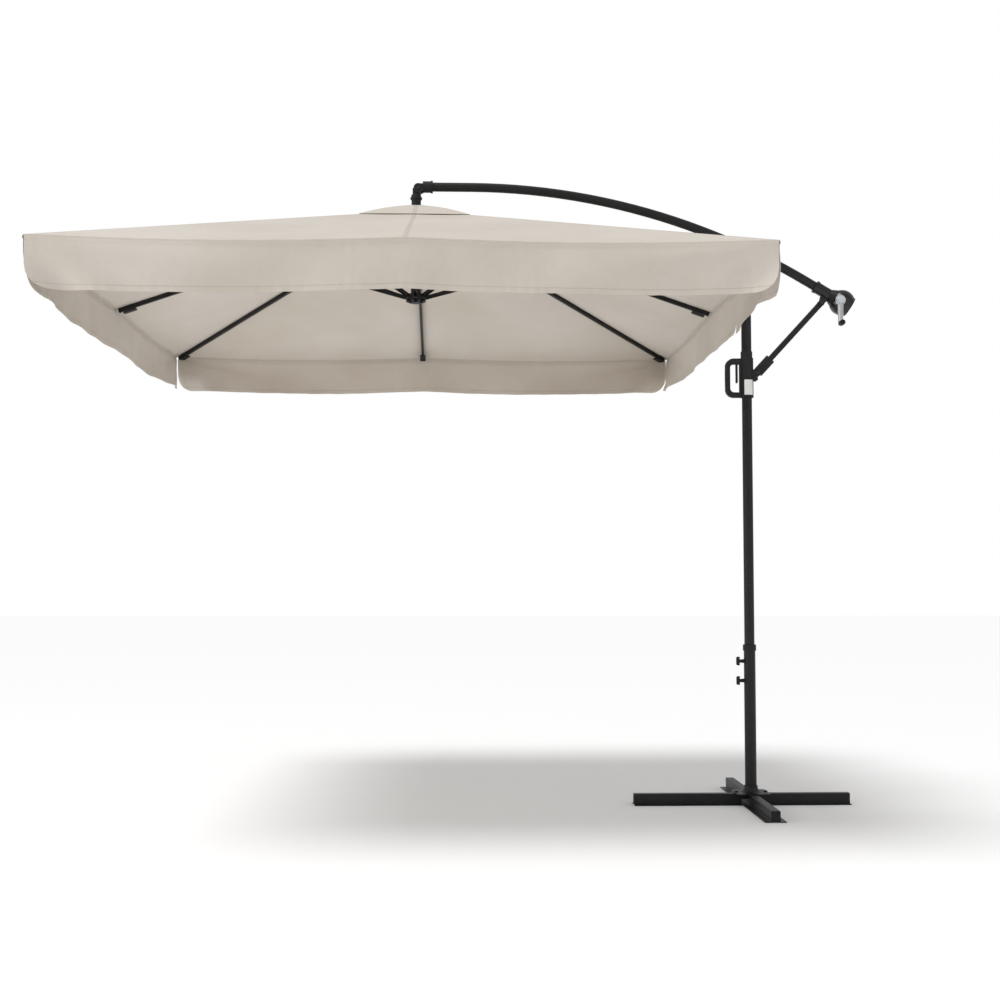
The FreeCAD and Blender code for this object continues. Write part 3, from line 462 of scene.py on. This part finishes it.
class Bench:
    """Models hard pieces by hand operators, and hands them over to the frame."""

    def __init__(self, finishes: Finishes) -> None:
        """Keep the finishes that pieces are dressed in."""
        self.finishes = finishes

    @staticmethod
    def clear() -> None:
        """Deselect everything."""
        if bpy.context.object and bpy.context.object.mode != "OBJECT":
            bpy.ops.object.mode_set(mode="OBJECT")
        bpy.ops.object.select_all(action="DESELECT")

    def block(self, name: str, low: Point, high: Point) -> bpy.types.Object:
        """Add a block between two corners.

        Args:
            name: the piece's name.
            low: its lowest corner.
            high: its highest corner.

        Returns:
            The new object.
        """
        self.clear()
        centre = [(a + b) / 2.0 for a, b in zip(low, high)]
        bpy.ops.mesh.primitive_cube_add(size=1.0, location=centre, scale=[b - a for a, b in zip(low, high)])
        return self._take(name)

    def drum(self, name: str, start: Point, end: Point, radius: float, sides: int = 48) -> bpy.types.Object:
        """Add a round bar between two points.

        Args:
            name: the piece's name.
            start: the middle of one end.
            end: the middle of the other.
            radius: its radius.
            sides: how many faces go round.

        Returns:
            The new object.
        """
        self.clear()
        a, b = Vector(start), Vector(end)
        turn = (b - a).to_track_quat("Z", "Y").to_euler()
        bpy.ops.mesh.primitive_cylinder_add(
            vertices=sides, radius=radius, depth=(b - a).length, location=(a + b) / 2.0, rotation=turn
        )
        return self._take(name)

    def ring(self, name: str, centre: Point, axis: Point, major: float, minor: float) -> bpy.types.Object:
        """Add a round bead about an axis.

        Args:
            name: the piece's name.
            centre: its middle.
            axis: the way its hole points.
            major: the radius of its circle.
            minor: the radius of its section.

        Returns:
            The new object.
        """
        self.clear()
        turn = Vector(axis).to_track_quat("Z", "Y").to_euler()
        bpy.ops.mesh.primitive_torus_add(
            major_segments=64, minor_segments=12, location=centre, rotation=turn,
            major_radius=major, minor_radius=minor,
        )
        return self._take(name)

    @staticmethod
    def _take(name: str) -> bpy.types.Object:
        """Name the new object and bring it to the origin, with its place in its mesh.

        Args:
            name: the piece's name.

        Returns:
            The object.
        """
        made = bpy.context.object
        made.name = name
        made.data.name = name
        bpy.ops.object.transform_apply(location=True, rotation=True, scale=True)
        return made

    def pick(self, piece: bpy.types.Object, keep: Callable[[Vector, Vector], bool]) -> None:
        """Go into edit mode with some faces selected.

        Args:
            piece: the object.
            keep: says of a face's centre and normal whether it is selected.
        """
        self.clear()
        bpy.context.view_layer.objects.active = piece
        piece.select_set(True)
        bpy.ops.object.mode_set(mode="EDIT")
        bpy.ops.mesh.select_mode(type="FACE")
        bpy.ops.mesh.select_all(action="DESELECT")
        bpy.ops.object.mode_set(mode="OBJECT")
        for face in piece.data.polygons:
            face.select = keep(face.center, face.normal)
        bpy.ops.object.mode_set(mode="EDIT")

    def sink(
        self, piece: bpy.types.Object, keep: Callable[[Vector, Vector], bool], border: float, move: Point
    ) -> None:
        """Inset some faces and move what is inside the border.

        Args:
            piece: the object.
            keep: says which faces.
            border: the width that stays.
            move: how far the inside moves.
        """
        self.pick(piece, keep)
        bpy.ops.mesh.inset(thickness=border, depth=0.0)
        bpy.ops.mesh.extrude_region_move(TRANSFORM_OT_translate={"value": move})
        bpy.ops.object.mode_set(mode="OBJECT")

    def soften(self, piece: bpy.types.Object, width: float, steps: int = 3, sharp: float = 35.0) -> None:
        """Round a piece's edges and shade it.

        Args:
            piece: the object.
            width: the width of the rounding.
            steps: how many faces it has.
            sharp: the angle, in degrees, from which an edge is rounded.
        """
        self.clear()
        bpy.context.view_layer.objects.active = piece
        piece.select_set(True)
        bevel = piece.modifiers.new("rounding", "BEVEL")
        bevel.width, bevel.segments = width, steps
        bevel.limit_method, bevel.angle_limit = "ANGLE", radians(sharp)
        bpy.ops.object.modifier_apply(modifier=bevel.name)
        bpy.ops.object.shade_smooth_by_angle(angle=radians(40.0))

    def copy(self, piece: bpy.types.Object, name: str, shift: Point) -> bpy.types.Object:
        """Copy a piece with its own mesh.

        Args:
            piece: what is copied.
            name: the copy's name.
            shift: how far it is moved.

        Returns:
            The copy.
        """
        self.clear()
        bpy.context.view_layer.objects.active = piece
        piece.select_set(True)
        bpy.ops.object.duplicate(linked=False)
        bpy.ops.transform.translate(value=shift)
        return self._take(name)

    def hand_over(
        self, piece: bpy.types.Object, body: str, slot: str, coat: Coat, stands_for: Iterable[str] = ()
    ) -> bpy.types.Object:
        """Dress a finished piece and fix it to its body.

        Args:
            piece: the object.
            body: the CAD body that it moves with.
            slot: the record's material slot, which is not used.
            coat: its finish.
            stands_for: the CAD nodes that it replaces.

        Returns:
            The same piece.
        """
        piece.data.materials.clear()
        piece.data.materials.append(self.finishes.get(coat))
        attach(piece, body)
        nodes = list(stands_for)
        if nodes:
            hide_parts(*nodes)
        return piece


# Canopy


@dataclass(frozen=True)
class Ripple:
    """A regular wave along the valance, in metres. It leans sideways as it goes down."""

    height: float
    length: float
    lean: float = 0.0

    def at(self, y: float, down: float, phase: float) -> float:
        """How far the wave stands out.

        Args:
            y: the distance along the side.
            down: the share of the way down the valance.
            phase: where the wave starts.

        Returns:
            The distance in metres.
        """
        return self.height * sin(2 * pi * (y + self.lean * down) / self.length + phase)


@dataclass
class Canopy:
    """The cloth: eight kites that meet in one curved surface, the valance, and the vent cap over them."""

    bench: Bench
    hub_x: float = -1.4
    half: float = 1.25
    crown: float = 2.490
    edge: float = 2.062
    mouth: float = 0.075
    drop: float = 0.172
    corner_round: float = 0.078
    slit: float = 0.003
    hollow: float = 0.015
    lift: float = 0.001
    thick: float = 0.0007
    cap_half: float = 0.225
    cap_mouth: float = 0.024
    cap_top: float = 2.508
    cap_rim: float = 2.4165
    gathered: float = 0.15
    slack_from: float = 0.48
    slack_depth: float = 0.050
    slack_bulge: float = 0.007
    swell: Ripple = Ripple(0.006, 0.71, 0.22)
    sway: Ripple = Ripple(0.004, 0.263, -0.12)
    end_fold: Ripple = Ripple(0.009, 0.23, 0.16)
    pucker: Ripple = Ripple(0.0013, 0.041)
    slope_rows: int = 56
    hem_rows: int = 24
    sides: dict[str, int] = field(default_factory=lambda: {"right": 0, "rear": 90, "left": 180, "front": 270})
    corners: dict[str, int] = field(
        default_factory=lambda: {"rear_right": 45, "rear_left": 135, "front_left": 225, "front_right": 315}
    )

    @property
    def pitch(self) -> float:
        """How far the cover falls for each metre outwards."""
        return (self.crown - self.edge) / self.half

    def _hollow(self, x: float, y: float) -> float:
        """How far the cloth sinks between two ribs.

        Args:
            x: the distance out from the canopy's axis, square to the side.
            y: the distance along the side.

        Returns:
            The depth in metres, zero on the ribs.
        """
        share = min(abs(y) / max(x, 1e-6), 1.0)
        reach = (x / self.half) ** 1.4
        pull = 0.0012 * sin(2 * pi * y / 0.13) * max(0.0, x / self.half - 0.55)
        return (self.hollow * reach + pull) * sin(pi * share)

    def _slack(self, y: float, down: float) -> float:
        """How far the valance bulges above, and tucks in below, the fold from each corner down to the hem.

        Args:
            y: the distance along the side.
            down: the share of the way down the valance.

        Returns:
            The distance in metres, outwards.
        """
        crease = 1.0 - 0.86 * (abs(y) - self.slack_from) / (self.half - self.slack_from)
        past = down - crease
        below = 0.5 * (past + hypot(past, 0.07))
        above = sin(pi * min(down / max(crease, 0.05), 1.0)) if crease < 1.3 else 0.0
        near_corner = min((self.half - abs(y)) / 0.20, 1.0)
        fade = near_corner * near_corner * (3.0 - 2.0 * near_corner)
        start = min(max((abs(y) - 0.25) / 0.3, 0.0), 1.0)
        return fade * (self.slack_bulge * above * start - self.slack_depth * below)

    def _wave(self, y: float, down: float, phase: float) -> float:
        """How far the valance stands out.

        Args:
            y: the distance along the side.
            down: the share of the way down the valance.
            phase: what makes one side differ from another.

        Returns:
            The distance in metres, zero at the seam.
        """
        broad = self.swell.at(y, down, phase)
        broad += self.sway.at(y, down, 1.3 * phase) * (0.6 + 0.4 * sin(5.1 * y + phase))
        near_end = min(max((abs(y) - 0.78) / 0.3, 0.0), 1.0)
        fold = self.end_fold.at(abs(y), down, phase) * near_end * near_end
        uneven = 0.5 + 0.5 * sin(23.0 * y + 2.0 * sin(7.3 * y + phase))
        at_seams = uneven * (down**5 + (1.0 - down) ** 6) * min(down * 8.0, 1.0)
        gathers = self.pucker.at(y, down, 2.6 * sin(11.0 * y + phase)) * at_seams
        return (broad + fold) * down**1.15 + self._slack(y, down) + gathers

    def at(self, azimuth: float, x: float, y: float, z: float) -> Point:
        """Turn a place beside the +X side to another side of the canopy."""
        a = radians(azimuth)
        return self.hub_x + x * cos(a) - y * sin(a), x * sin(a) + y * cos(a), z

    def _column(self, azimuth: float, share: float) -> Column:
        """One line of the cover, from the vent to the hem.

        Args:
            azimuth: the side's azimuth.
            share: the place along the side, from -1 to 1.

        Returns:
            Its points, and their distances along and down the cloth.
        """
        phase = azimuth / 37.0
        rise = sqrt(1.0 + self.pitch**2)
        points, marks = [], []
        for i in range(self.slope_rows + 1):
            x = self.mouth + (self.half - self.mouth) * i / self.slope_rows
            y = share * x
            z = self.crown + self.lift - self.pitch * x - self._hollow(x, y)
            points.append(self.at(azimuth, x, y, z))
            marks.append((y, (x - self.mouth) * rise))
        limit = self.half - self.slit
        y = max(-limit, min(limit, share * self.half))
        seam = self.edge + self.lift - self._hollow(self.half, share * self.half)
        inset = self.corner_round - (limit - abs(y))
        cut = 0.0
        if inset > 0.0:
            cut = self.corner_round - sqrt(max(self.corner_round**2 - inset**2, 0.0))
        length = self.drop - cut
        for i in range(1, self.hem_rows + 1):
            down = i / self.hem_rows * length
            bead = 0.0040 * sin(pi * min(down / 0.016, 1.0))
            x = self.half + bead + self._wave(y, down / self.drop, phase)
            points.append(self.at(azimuth, x, y, seam - down))
            marks.append((y, (self.half - self.mouth) * rise + down))
        return points, marks

    def _sheet(self, name: str, patches: Sequence[Patch]) -> bpy.types.Object:
        """Sew columns of points into one thin closed cloth.

        Args:
            name: the piece's name.
            patches: grids of points with their distances along the cloth.

        Returns:
            The finished object.
        """
        vertices: list[Point] = []
        faces: list[tuple[int, int, int, int]] = []
        marks: list[Mark] = []
        for columns, notes in patches:
            first, tall = len(vertices), len(columns[0])
            for column, note in zip(columns, notes):
                vertices.extend(column)
                marks.extend(note)
            for i in range(len(columns) - 1):
                for j in range(tall - 1):
                    a = first + i * tall + j
                    faces.append((a, a + 1, a + tall + 1, a + tall))
        mesh = bpy.data.meshes.new(name)
        mesh.from_pydata(vertices, [], faces)
        layer = mesh.uv_layers.new(name="cloth")
        for loop in mesh.loops:
            layer.data[loop.index].uv = marks[loop.vertex_index]
        piece = bpy.data.objects.new(name, mesh)
        bpy.context.collection.objects.link(piece)
        self.bench.clear()
        bpy.context.view_layer.objects.active = piece
        piece.select_set(True)
        bpy.ops.object.mode_set(mode="EDIT")
        bpy.ops.mesh.select_all(action="SELECT")
        bpy.ops.mesh.remove_doubles(threshold=0.00002)
        bpy.ops.object.mode_set(mode="OBJECT")
        skin = piece.modifiers.new("cloth", "SOLIDIFY")
        skin.thickness, skin.offset = self.thick, -1.0
        bpy.ops.object.modifier_apply(modifier=skin.name)
        bpy.ops.object.shade_smooth_by_angle(angle=radians(50.0))
        return piece

    def _patch(self, azimuth: float, low: float, high: float, steps: int) -> Patch:
        """Lay out the cover between two places along a side.

        Args:
            azimuth: the side's azimuth.
            low: where it starts, from -1 to 1.
            high: where it ends.
            steps: how many columns wide it is.

        Returns:
            Its points, and their distances along and down the cloth.
        """
        columns, notes = [], []
        for i in range(steps + 1):
            points, marks = self._column(azimuth, low + (high - low) * i / steps)
            columns.append(points)
            notes.append(marks)
        return columns, notes

    def _flap(self, azimuth: float, steps: int = 36, rows: int = 18) -> Patch:
        """Lay out one side of the vent cap, whose rim lifts a little between its corners.

        Args:
            azimuth: the side's azimuth.
            steps: how many columns wide it is.
            rows: how many steps it has from top to rim.

        Returns:
            Its points, and their distances along and down the cloth.
        """
        columns, notes = [], []
        for i in range(steps + 1):
            share = -1.0 + 2.0 * i / steps
            points, marks = [], []
            for j in range(rows + 1):
                out = j / rows
                x = self.cap_mouth + (self.cap_half - self.cap_mouth) * out
                arch = 0.001 * out * out * cos(share * pi / 2.0) + 0.0060 * sin(pi * out)
                z = self.cap_top - (self.cap_top - self.cap_rim) * out + arch
                points.append(self.at(azimuth, x, share * x, z))
                marks.append((share * x, -1.0 + x))
            columns.append(points)
            notes.append(marks)
        return columns, notes

    def _fix(
        self, piece: bpy.types.Object
    ) -> None:
        """Give a cloth its own copy of its mesh.

        Args:
            piece: the cloth.
        """
        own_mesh(piece)

    def build(self) -> int:
        """Make all the cloth.

        Returns:
            How many pieces there are.
        """
        kite = tan(radians(22.5))
        for name, azimuth in self.sides.items():
            piece = self._sheet("cover_" + name, [self._patch(azimuth, -kite, kite, 120)])
            self.bench.hand_over(piece, "arm_" + name, "canopy_cloth", Coat.CLOTH, ["canopy_side_" + name])
            self._fix(piece)
            cap = self._sheet("vent_cap_" + name, [self._flap(azimuth)])
            self.bench.hand_over(cap, "arm_" + name, "canopy_cloth", Coat.CLOTH)
            self._fix(cap)
        for name, azimuth in self.corners.items():
            patches = [
                self._patch(azimuth - 45, kite, 1.0, 80),
                self._patch(azimuth + 45, -1.0, -kite, 80),
            ]
            piece = self._sheet("cover_" + name, patches)
            self.bench.hand_over(piece, "arm_" + name, "canopy_cloth", Coat.CLOTH, ["canopy_corner_" + name])
            self._fix(piece)
        return 2 * len(self.sides) + len(self.corners)


@dataclass
class RibPockets:
    """The moulded pockets, sewn under the cover, that the ribs' ends sit in."""

    bench: Bench
    canopy: Canopy
    wide: float = 0.028
    long: float = 0.052
    tall: float = 0.006

    def build(self) -> int:
        """Make a pocket under the end of each rib.

        Returns:
            How many there are.
        """
        count = 0
        for names, diagonal in ((self.canopy.sides, 1.0), (self.canopy.corners, sqrt(2.0))):
            for name, azimuth in names.items():
                self._pocket(name, azimuth, diagonal)
                count += 1
        return count

    def _pocket(self, name: str, azimuth: float, diagonal: float) -> None:
        """Make one pocket.

        Args:
            name: the rib's name.
            azimuth: the rib's azimuth.
            diagonal: how much longer this rib is than a side rib.
        """
        reach = self.canopy.half * diagonal - 0.030 * diagonal
        slope = self.canopy.pitch / diagonal
        low = self.canopy.crown - slope * reach - 0.024
        piece = self.bench.block(
            "rib_pocket_" + name,
            (reach - self.long, -self.wide / 2.0, low - self.tall), (reach, self.wide / 2.0, low),
        )
        self.bench.sink(piece, lambda c, n: n.z < -0.9, 0.004, (0.0, 0.0, 0.0015))
        for vertex in piece.data.vertices:
            vertex.co.z -= (vertex.co.x - reach) * slope
            x, y, z = vertex.co
            vertex.co = self.canopy.at(azimuth, x, y, z)
        self.bench.soften(piece, 0.0015, 2)
        self.bench.hand_over(piece, "arm_" + name, "moulded_plastic", Coat.MOULDED)


# Crank


@dataclass
class CrankSet:
    """The cast crank: a tapered arm with a sunk panel, a round boss, a domed cap and a turned knob."""

    bench: Bench
    x: float
    z: float
    back: float = -0.058
    plate: float = 0.010
    length: float = 0.100
    hub_r: float = 0.0215

    def build(self) -> int:
        """Make the crank's pieces.

        Returns:
            How many there are.
        """
        front = self.back - self.plate
        self._arm(front)
        self._boss(front)
        self._cap(front)
        self._knob(front)
        return 4

    def _arm(self, front: float) -> None:
        """The tapered arm with its sunk panel.

        Args:
            front: where the boss's front face is, along Y.
        """
        top, foot = self.z - 0.004, self.z - self.length
        half = 0.0125
        low = (self.x - half, front + 0.0015, foot - 0.009)
        arm = self.bench.block("crank_bar", low, (self.x + half, self.back - 0.001, top))
        for vertex in arm.data.vertices:
            if vertex.co.z < self.z - 0.05:
                vertex.co.x = self.x + (vertex.co.x - self.x) * 0.76
        self.bench.sink(arm, lambda c, n: n.y < -0.9, 0.0030, (0.0, 0.0018, 0.0))
        self.bench.soften(arm, 0.0016, 3)
        self.bench.hand_over(arm, "crank", "crank_chrome", Coat.CHROME, ["crank_arm"])

    def _boss(self, front: float) -> None:
        """The round boss that the arm grows from.

        Args:
            front: where its front face is, along Y.
        """
        ends = (self.x, front, self.z), (self.x, self.back, self.z)
        boss = self.bench.drum("crank_boss", *ends, self.hub_r, 64)
        self.bench.sink(boss, lambda c, n: n.y < -0.9, 0.0030, (0.0, 0.0010, 0.0))
        self.bench.soften(boss, 0.0012, 3)
        self.bench.hand_over(boss, "crank", "crank_chrome", Coat.CHROME)

    def _cap(self, front: float) -> None:
        """The domed cap in the boss, plain, with one raised ring.

        Args:
            front: where the boss's front face is, along Y.
        """
        ends = (self.x, front - 0.0030, self.z), (self.x, front + 0.0010, self.z)
        cap = self.bench.drum("crank_dome", *ends, self.hub_r - 0.0042, 64)
        self.bench.sink(cap, lambda c, n: n.y < -0.9, 0.0040, (0.0, -0.0006, 0.0))
        self.bench.soften(cap, 0.0012, 4)
        self.bench.hand_over(cap, "crank", "clear_cap", Coat.CLEAR, ["crank_cap"])

    def _knob(self, front: float) -> None:
        """The turned knob, with a ring sunk in its end.

        Args:
            front: where the boss's front face is, along Y.
        """
        z = self.z - self.length
        ends = (self.x, front - 0.028, z), (self.x, front + 0.0008, z)
        knob = self.bench.drum("crank_grip", *ends, 0.0115, 48)

        def middle(centre: Vector, normal: Vector) -> bool:
            """Whether a face is in the middle of the knob's end."""
            return normal.y < -0.9 and hypot(centre.x - self.x, centre.z - z) < 0.004

        self.bench.sink(knob, lambda c, n: n.y < -0.9, 0.0028, (0.0, 0.0016, 0.0))
        self.bench.sink(knob, middle, 0.0030, (0.0, -0.0008, 0.0))
        self.bench.soften(knob, 0.0014, 3)
        self.bench.hand_over(knob, "knob", "knob_plastic", Coat.MOULDED, ["crank_knob"])


# Foot and mast trim


@dataclass
class FootTrim:
    """The plastic plugs in the beams' ends, and the bead round the mast's foot."""

    bench: Bench
    front: float = -0.490
    rear: float = 0.410
    side: float = 0.450
    crown: float = 0.036
    tall: float = 0.045

    def build(self) -> int:
        """Make the trim.

        Returns:
            How many pieces there are.
        """
        w = self.crown / 2.0 - 0.0034
        h = self.tall - 0.0034
        ends = {
            "front": ((self.front + 0.0005, -w, 0.001), (self.front + 0.020, w, h), (-1, 0)),
            "rear": ((self.rear - 0.020, -w, 0.001), (self.rear - 0.0005, w, h), (1, 0)),
            "near": ((-w, -self.side + 0.0005, 0.001), (w, -self.side + 0.020, h), (0, -1)),
            "far": ((-w, self.side - 0.020, 0.001), (w, self.side - 0.0005, h), (0, 1)),
        }
        for name, (low, high, way) in ends.items():
            plug = self.bench.block("beam_plug_" + name, low, high)
            facing = Vector((*way, 0.0))
            inward = (-0.0025 * way[0], -0.0025 * way[1], 0.0)
            self.bench.sink(plug, lambda c, n, f=facing: n.dot(f) > 0.9, 0.004, inward)
            self.bench.soften(plug, 0.0015, 3)
            self.bench.hand_over(plug, "base", "moulded_plastic", Coat.MOULDED)
        bead = self.bench.ring("foot_bead", (0.0, 0.0, 0.0752), (0.0, 0.0, 1.0), 0.0262, 0.0022)
        self.bench.soften(bead, 0.0001, 1, 80.0)
        self.bench.hand_over(bead, "base", "base_paint", Coat.POWDER)
        return len(ends) + 1


@dataclass
class SliderTrim:
    """The ridges on the slider's grip and on the strut's socket, and the band round its collar."""

    bench: Bench
    foot: tuple[float, float] = (0.044, 1.803)
    head: tuple[float, float] = (0.321, 2.105)

    def build(self) -> int:
        """Make the trim.

        Returns:
            How many pieces there are.
        """
        first = self.bench.block("grip_ridge_1", (-0.0922, -0.0085, 1.7500), (-0.0898, 0.0085, 1.7530))
        self.bench.sink(first, lambda c, n: n.x < -0.9, 0.0006, (-0.0003, 0.0, 0.0))
        self.bench.soften(first, 0.0007, 2)
        ridges = [first]
        for n in range(1, 8):
            ridges.append(self.bench.copy(first, f"grip_ridge_{n + 1}", (0.0, 0.0, 0.009 * n)))
        for ridge in ridges:
            self.bench.hand_over(ridge, "slider", "moulded_plastic", Coat.MOULDED)
        band = self.bench.ring("slider_band", (0.0, 0.0, 1.8655), (0.0, 0.0, 1.0), 0.0268, 0.0016)
        self.bench.soften(band, 0.0001, 1, 80.0)
        self.bench.hand_over(band, "slider", "moulded_plastic", Coat.MOULDED)
        return len(ridges) + 1 + self._socket_ribs()

    def _socket_ribs(self) -> int:
        """The raised ribs along both cheeks of the strut's socket.

        Returns:
            How many there are.
        """
        dx, dz = self.head[0] - self.foot[0], self.head[1] - self.foot[1]
        long = hypot(dx, dz)
        ux, uz = dx / long, dz / long
        count = 0
        for cheek in (-1, 1):
            for lane in (-0.013, -0.0065, 0.0, 0.0065, 0.013):
                x, z = self.foot[0] - uz * lane, self.foot[1] + ux * lane
                start = (x + ux * 0.024, cheek * 0.0119, z + uz * 0.024)
                end = (x + ux * 0.076, cheek * 0.0119, z + uz * 0.076)
                count += 1
                rib = self.bench.drum(f"socket_rib_{count}", start, end, 0.0013, 12)
                self.bench.soften(rib, 0.0004, 2, 60.0)
                self.bench.hand_over(rib, "strut", "moulded_plastic", Coat.MOULDED)
        return count


# Surroundings


@dataclass
class Studio:
    """A pale floor, soft light, and a low camera that looks slightly up."""

    eye: Point = (-1.225, -5.756, 0.93)
    up: float = 3.32
    aside: float = -1.79
    lens: float = 49.57

    def build(self) -> None:
        """Lay the floor, hang the lights and set the camera."""
        Bench.clear()
        bpy.ops.mesh.primitive_plane_add(size=60.0, location=(-1.0, 0.0, -0.0005))
        floor = bpy.context.object
        floor.name = "studio_floor"
        plan = Plan("studio_floor")
        plan.set(Base_Color=(0.93, 0.93, 0.93, 1.0), Roughness=0.9)
        floor.data.materials.append(plan.material)
        self._sky()
        self._sun()
        self._lamp("rake", (-6.6, -2.6, 2.7), 1.4, 60.0)
        self._lamp("fill", (3.4, -4.0, 3.2), 3.2, 15.0)
        self._camera()

    @staticmethod
    def _sky() -> None:
        """A white surround that lights the parasol less than it shows."""
        world = bpy.data.worlds.new("studio_surround")
        world.use_nodes = True
        tree = world.node_tree
        back = tree.nodes["Background"]
        back.inputs["Color"].default_value = (1.0, 1.0, 1.0, 1.0)
        path = tree.nodes.new("ShaderNodeLightPath")
        span = tree.nodes.new("ShaderNodeMapRange")
        span.inputs["To Min"].default_value = 0.56
        span.inputs["To Max"].default_value = 1.0
        tree.links.new(path.outputs["Is Camera Ray"], span.inputs["Value"])
        tree.links.new(span.outputs["Result"], back.inputs["Strength"])
        bpy.context.scene.world = world
        bpy.context.scene.view_settings.view_transform = "Standard"

    @staticmethod
    def _sun() -> None:
        """A broad, soft main light from above the front left."""
        data = bpy.data.lights.new("main", "SUN")
        data.energy, data.angle = 1.75, radians(24.0)
        lamp = bpy.data.objects.new("main", data)
        lamp.rotation_euler = Vector((0.42, 0.22, -1.0)).to_track_quat("-Z", "Y").to_euler()
        bpy.context.collection.objects.link(lamp)

    @staticmethod
    def _lamp(name: str, place: Point, size: float, power: float) -> None:
        """Hang one soft lamp that faces the canopy.

        Args:
            name: the lamp's name.
            place: where it hangs.
            size: its side.
            power: its power in watts.
        """
        data = bpy.data.lights.new(name, "AREA")
        data.shape, data.size, data.energy = "SQUARE", size, power
        lamp = bpy.data.objects.new(name, data)
        lamp.location = place
        lamp.rotation_euler = (Vector((-1.0, 0.0, 1.5)) - Vector(place)).to_track_quat("-Z", "Y").to_euler()
        bpy.context.collection.objects.link(lamp)

    def _camera(self) -> None:
        """Set the camera."""
        data = bpy.data.cameras.new("view")
        data.lens, data.sensor_width = self.lens, 36.0
        data.dof.use_dof = False
        data.clip_end = 200.0
        camera = bpy.data.objects.new("view", data)
        camera.location = self.eye
        camera.rotation_euler = (radians(90.0 + self.up), 0.0, radians(self.aside))
        bpy.context.collection.objects.link(camera)
        bpy.context.scene.camera = camera


def dress_nodes(frame: dict, finishes: Finishes) -> int:
    """Give every CAD node the finish of its material slot.

    Args:
        frame: the loaded frame.
        finishes: the finishes.

    Returns:
        How many nodes were dressed.
    """
    slots = {part["node"]: part["material_slot"] for part in frame["record"]["subparts"]}
    for name, piece in frame["nodes"].items():
        coat = SLOT_COATS[slots[name]]
        if not piece.material_slots:
            piece.data.materials.append(finishes.get(coat))
        for place in piece.material_slots:
            place.material = finishes.get(coat)
    return len(frame["nodes"])


def main() -> None:
    """Build the parasol's looks over the CAD frame."""
    logging.basicConfig(level=logging.INFO, format="%(message)s")
    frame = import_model()
    Studio().build()
    finishes = Finishes()
    bench = Bench(finishes)
    LOG.info("nodes dressed: %d", dress_nodes(frame, finishes))
    canopy = Canopy(bench)
    LOG.info("canopy: %d", canopy.build())
    LOG.info("rib pockets: %d", RibPockets(bench, canopy).build())
    joints = {joint["name"]: joint for joint in frame["record"]["behaviour"]["joints"]}
    x, _, z = joints["crank_turn"]["pos_m"]
    LOG.info("crank: %d", CrankSet(bench, x, z).build())
    LOG.info("foot trim: %d", FootTrim(bench).build())
    LOG.info("slider trim: %d", SliderTrim(bench).build())
    bpy.context.view_layer.update()


if __name__ == "__main__":
    main()
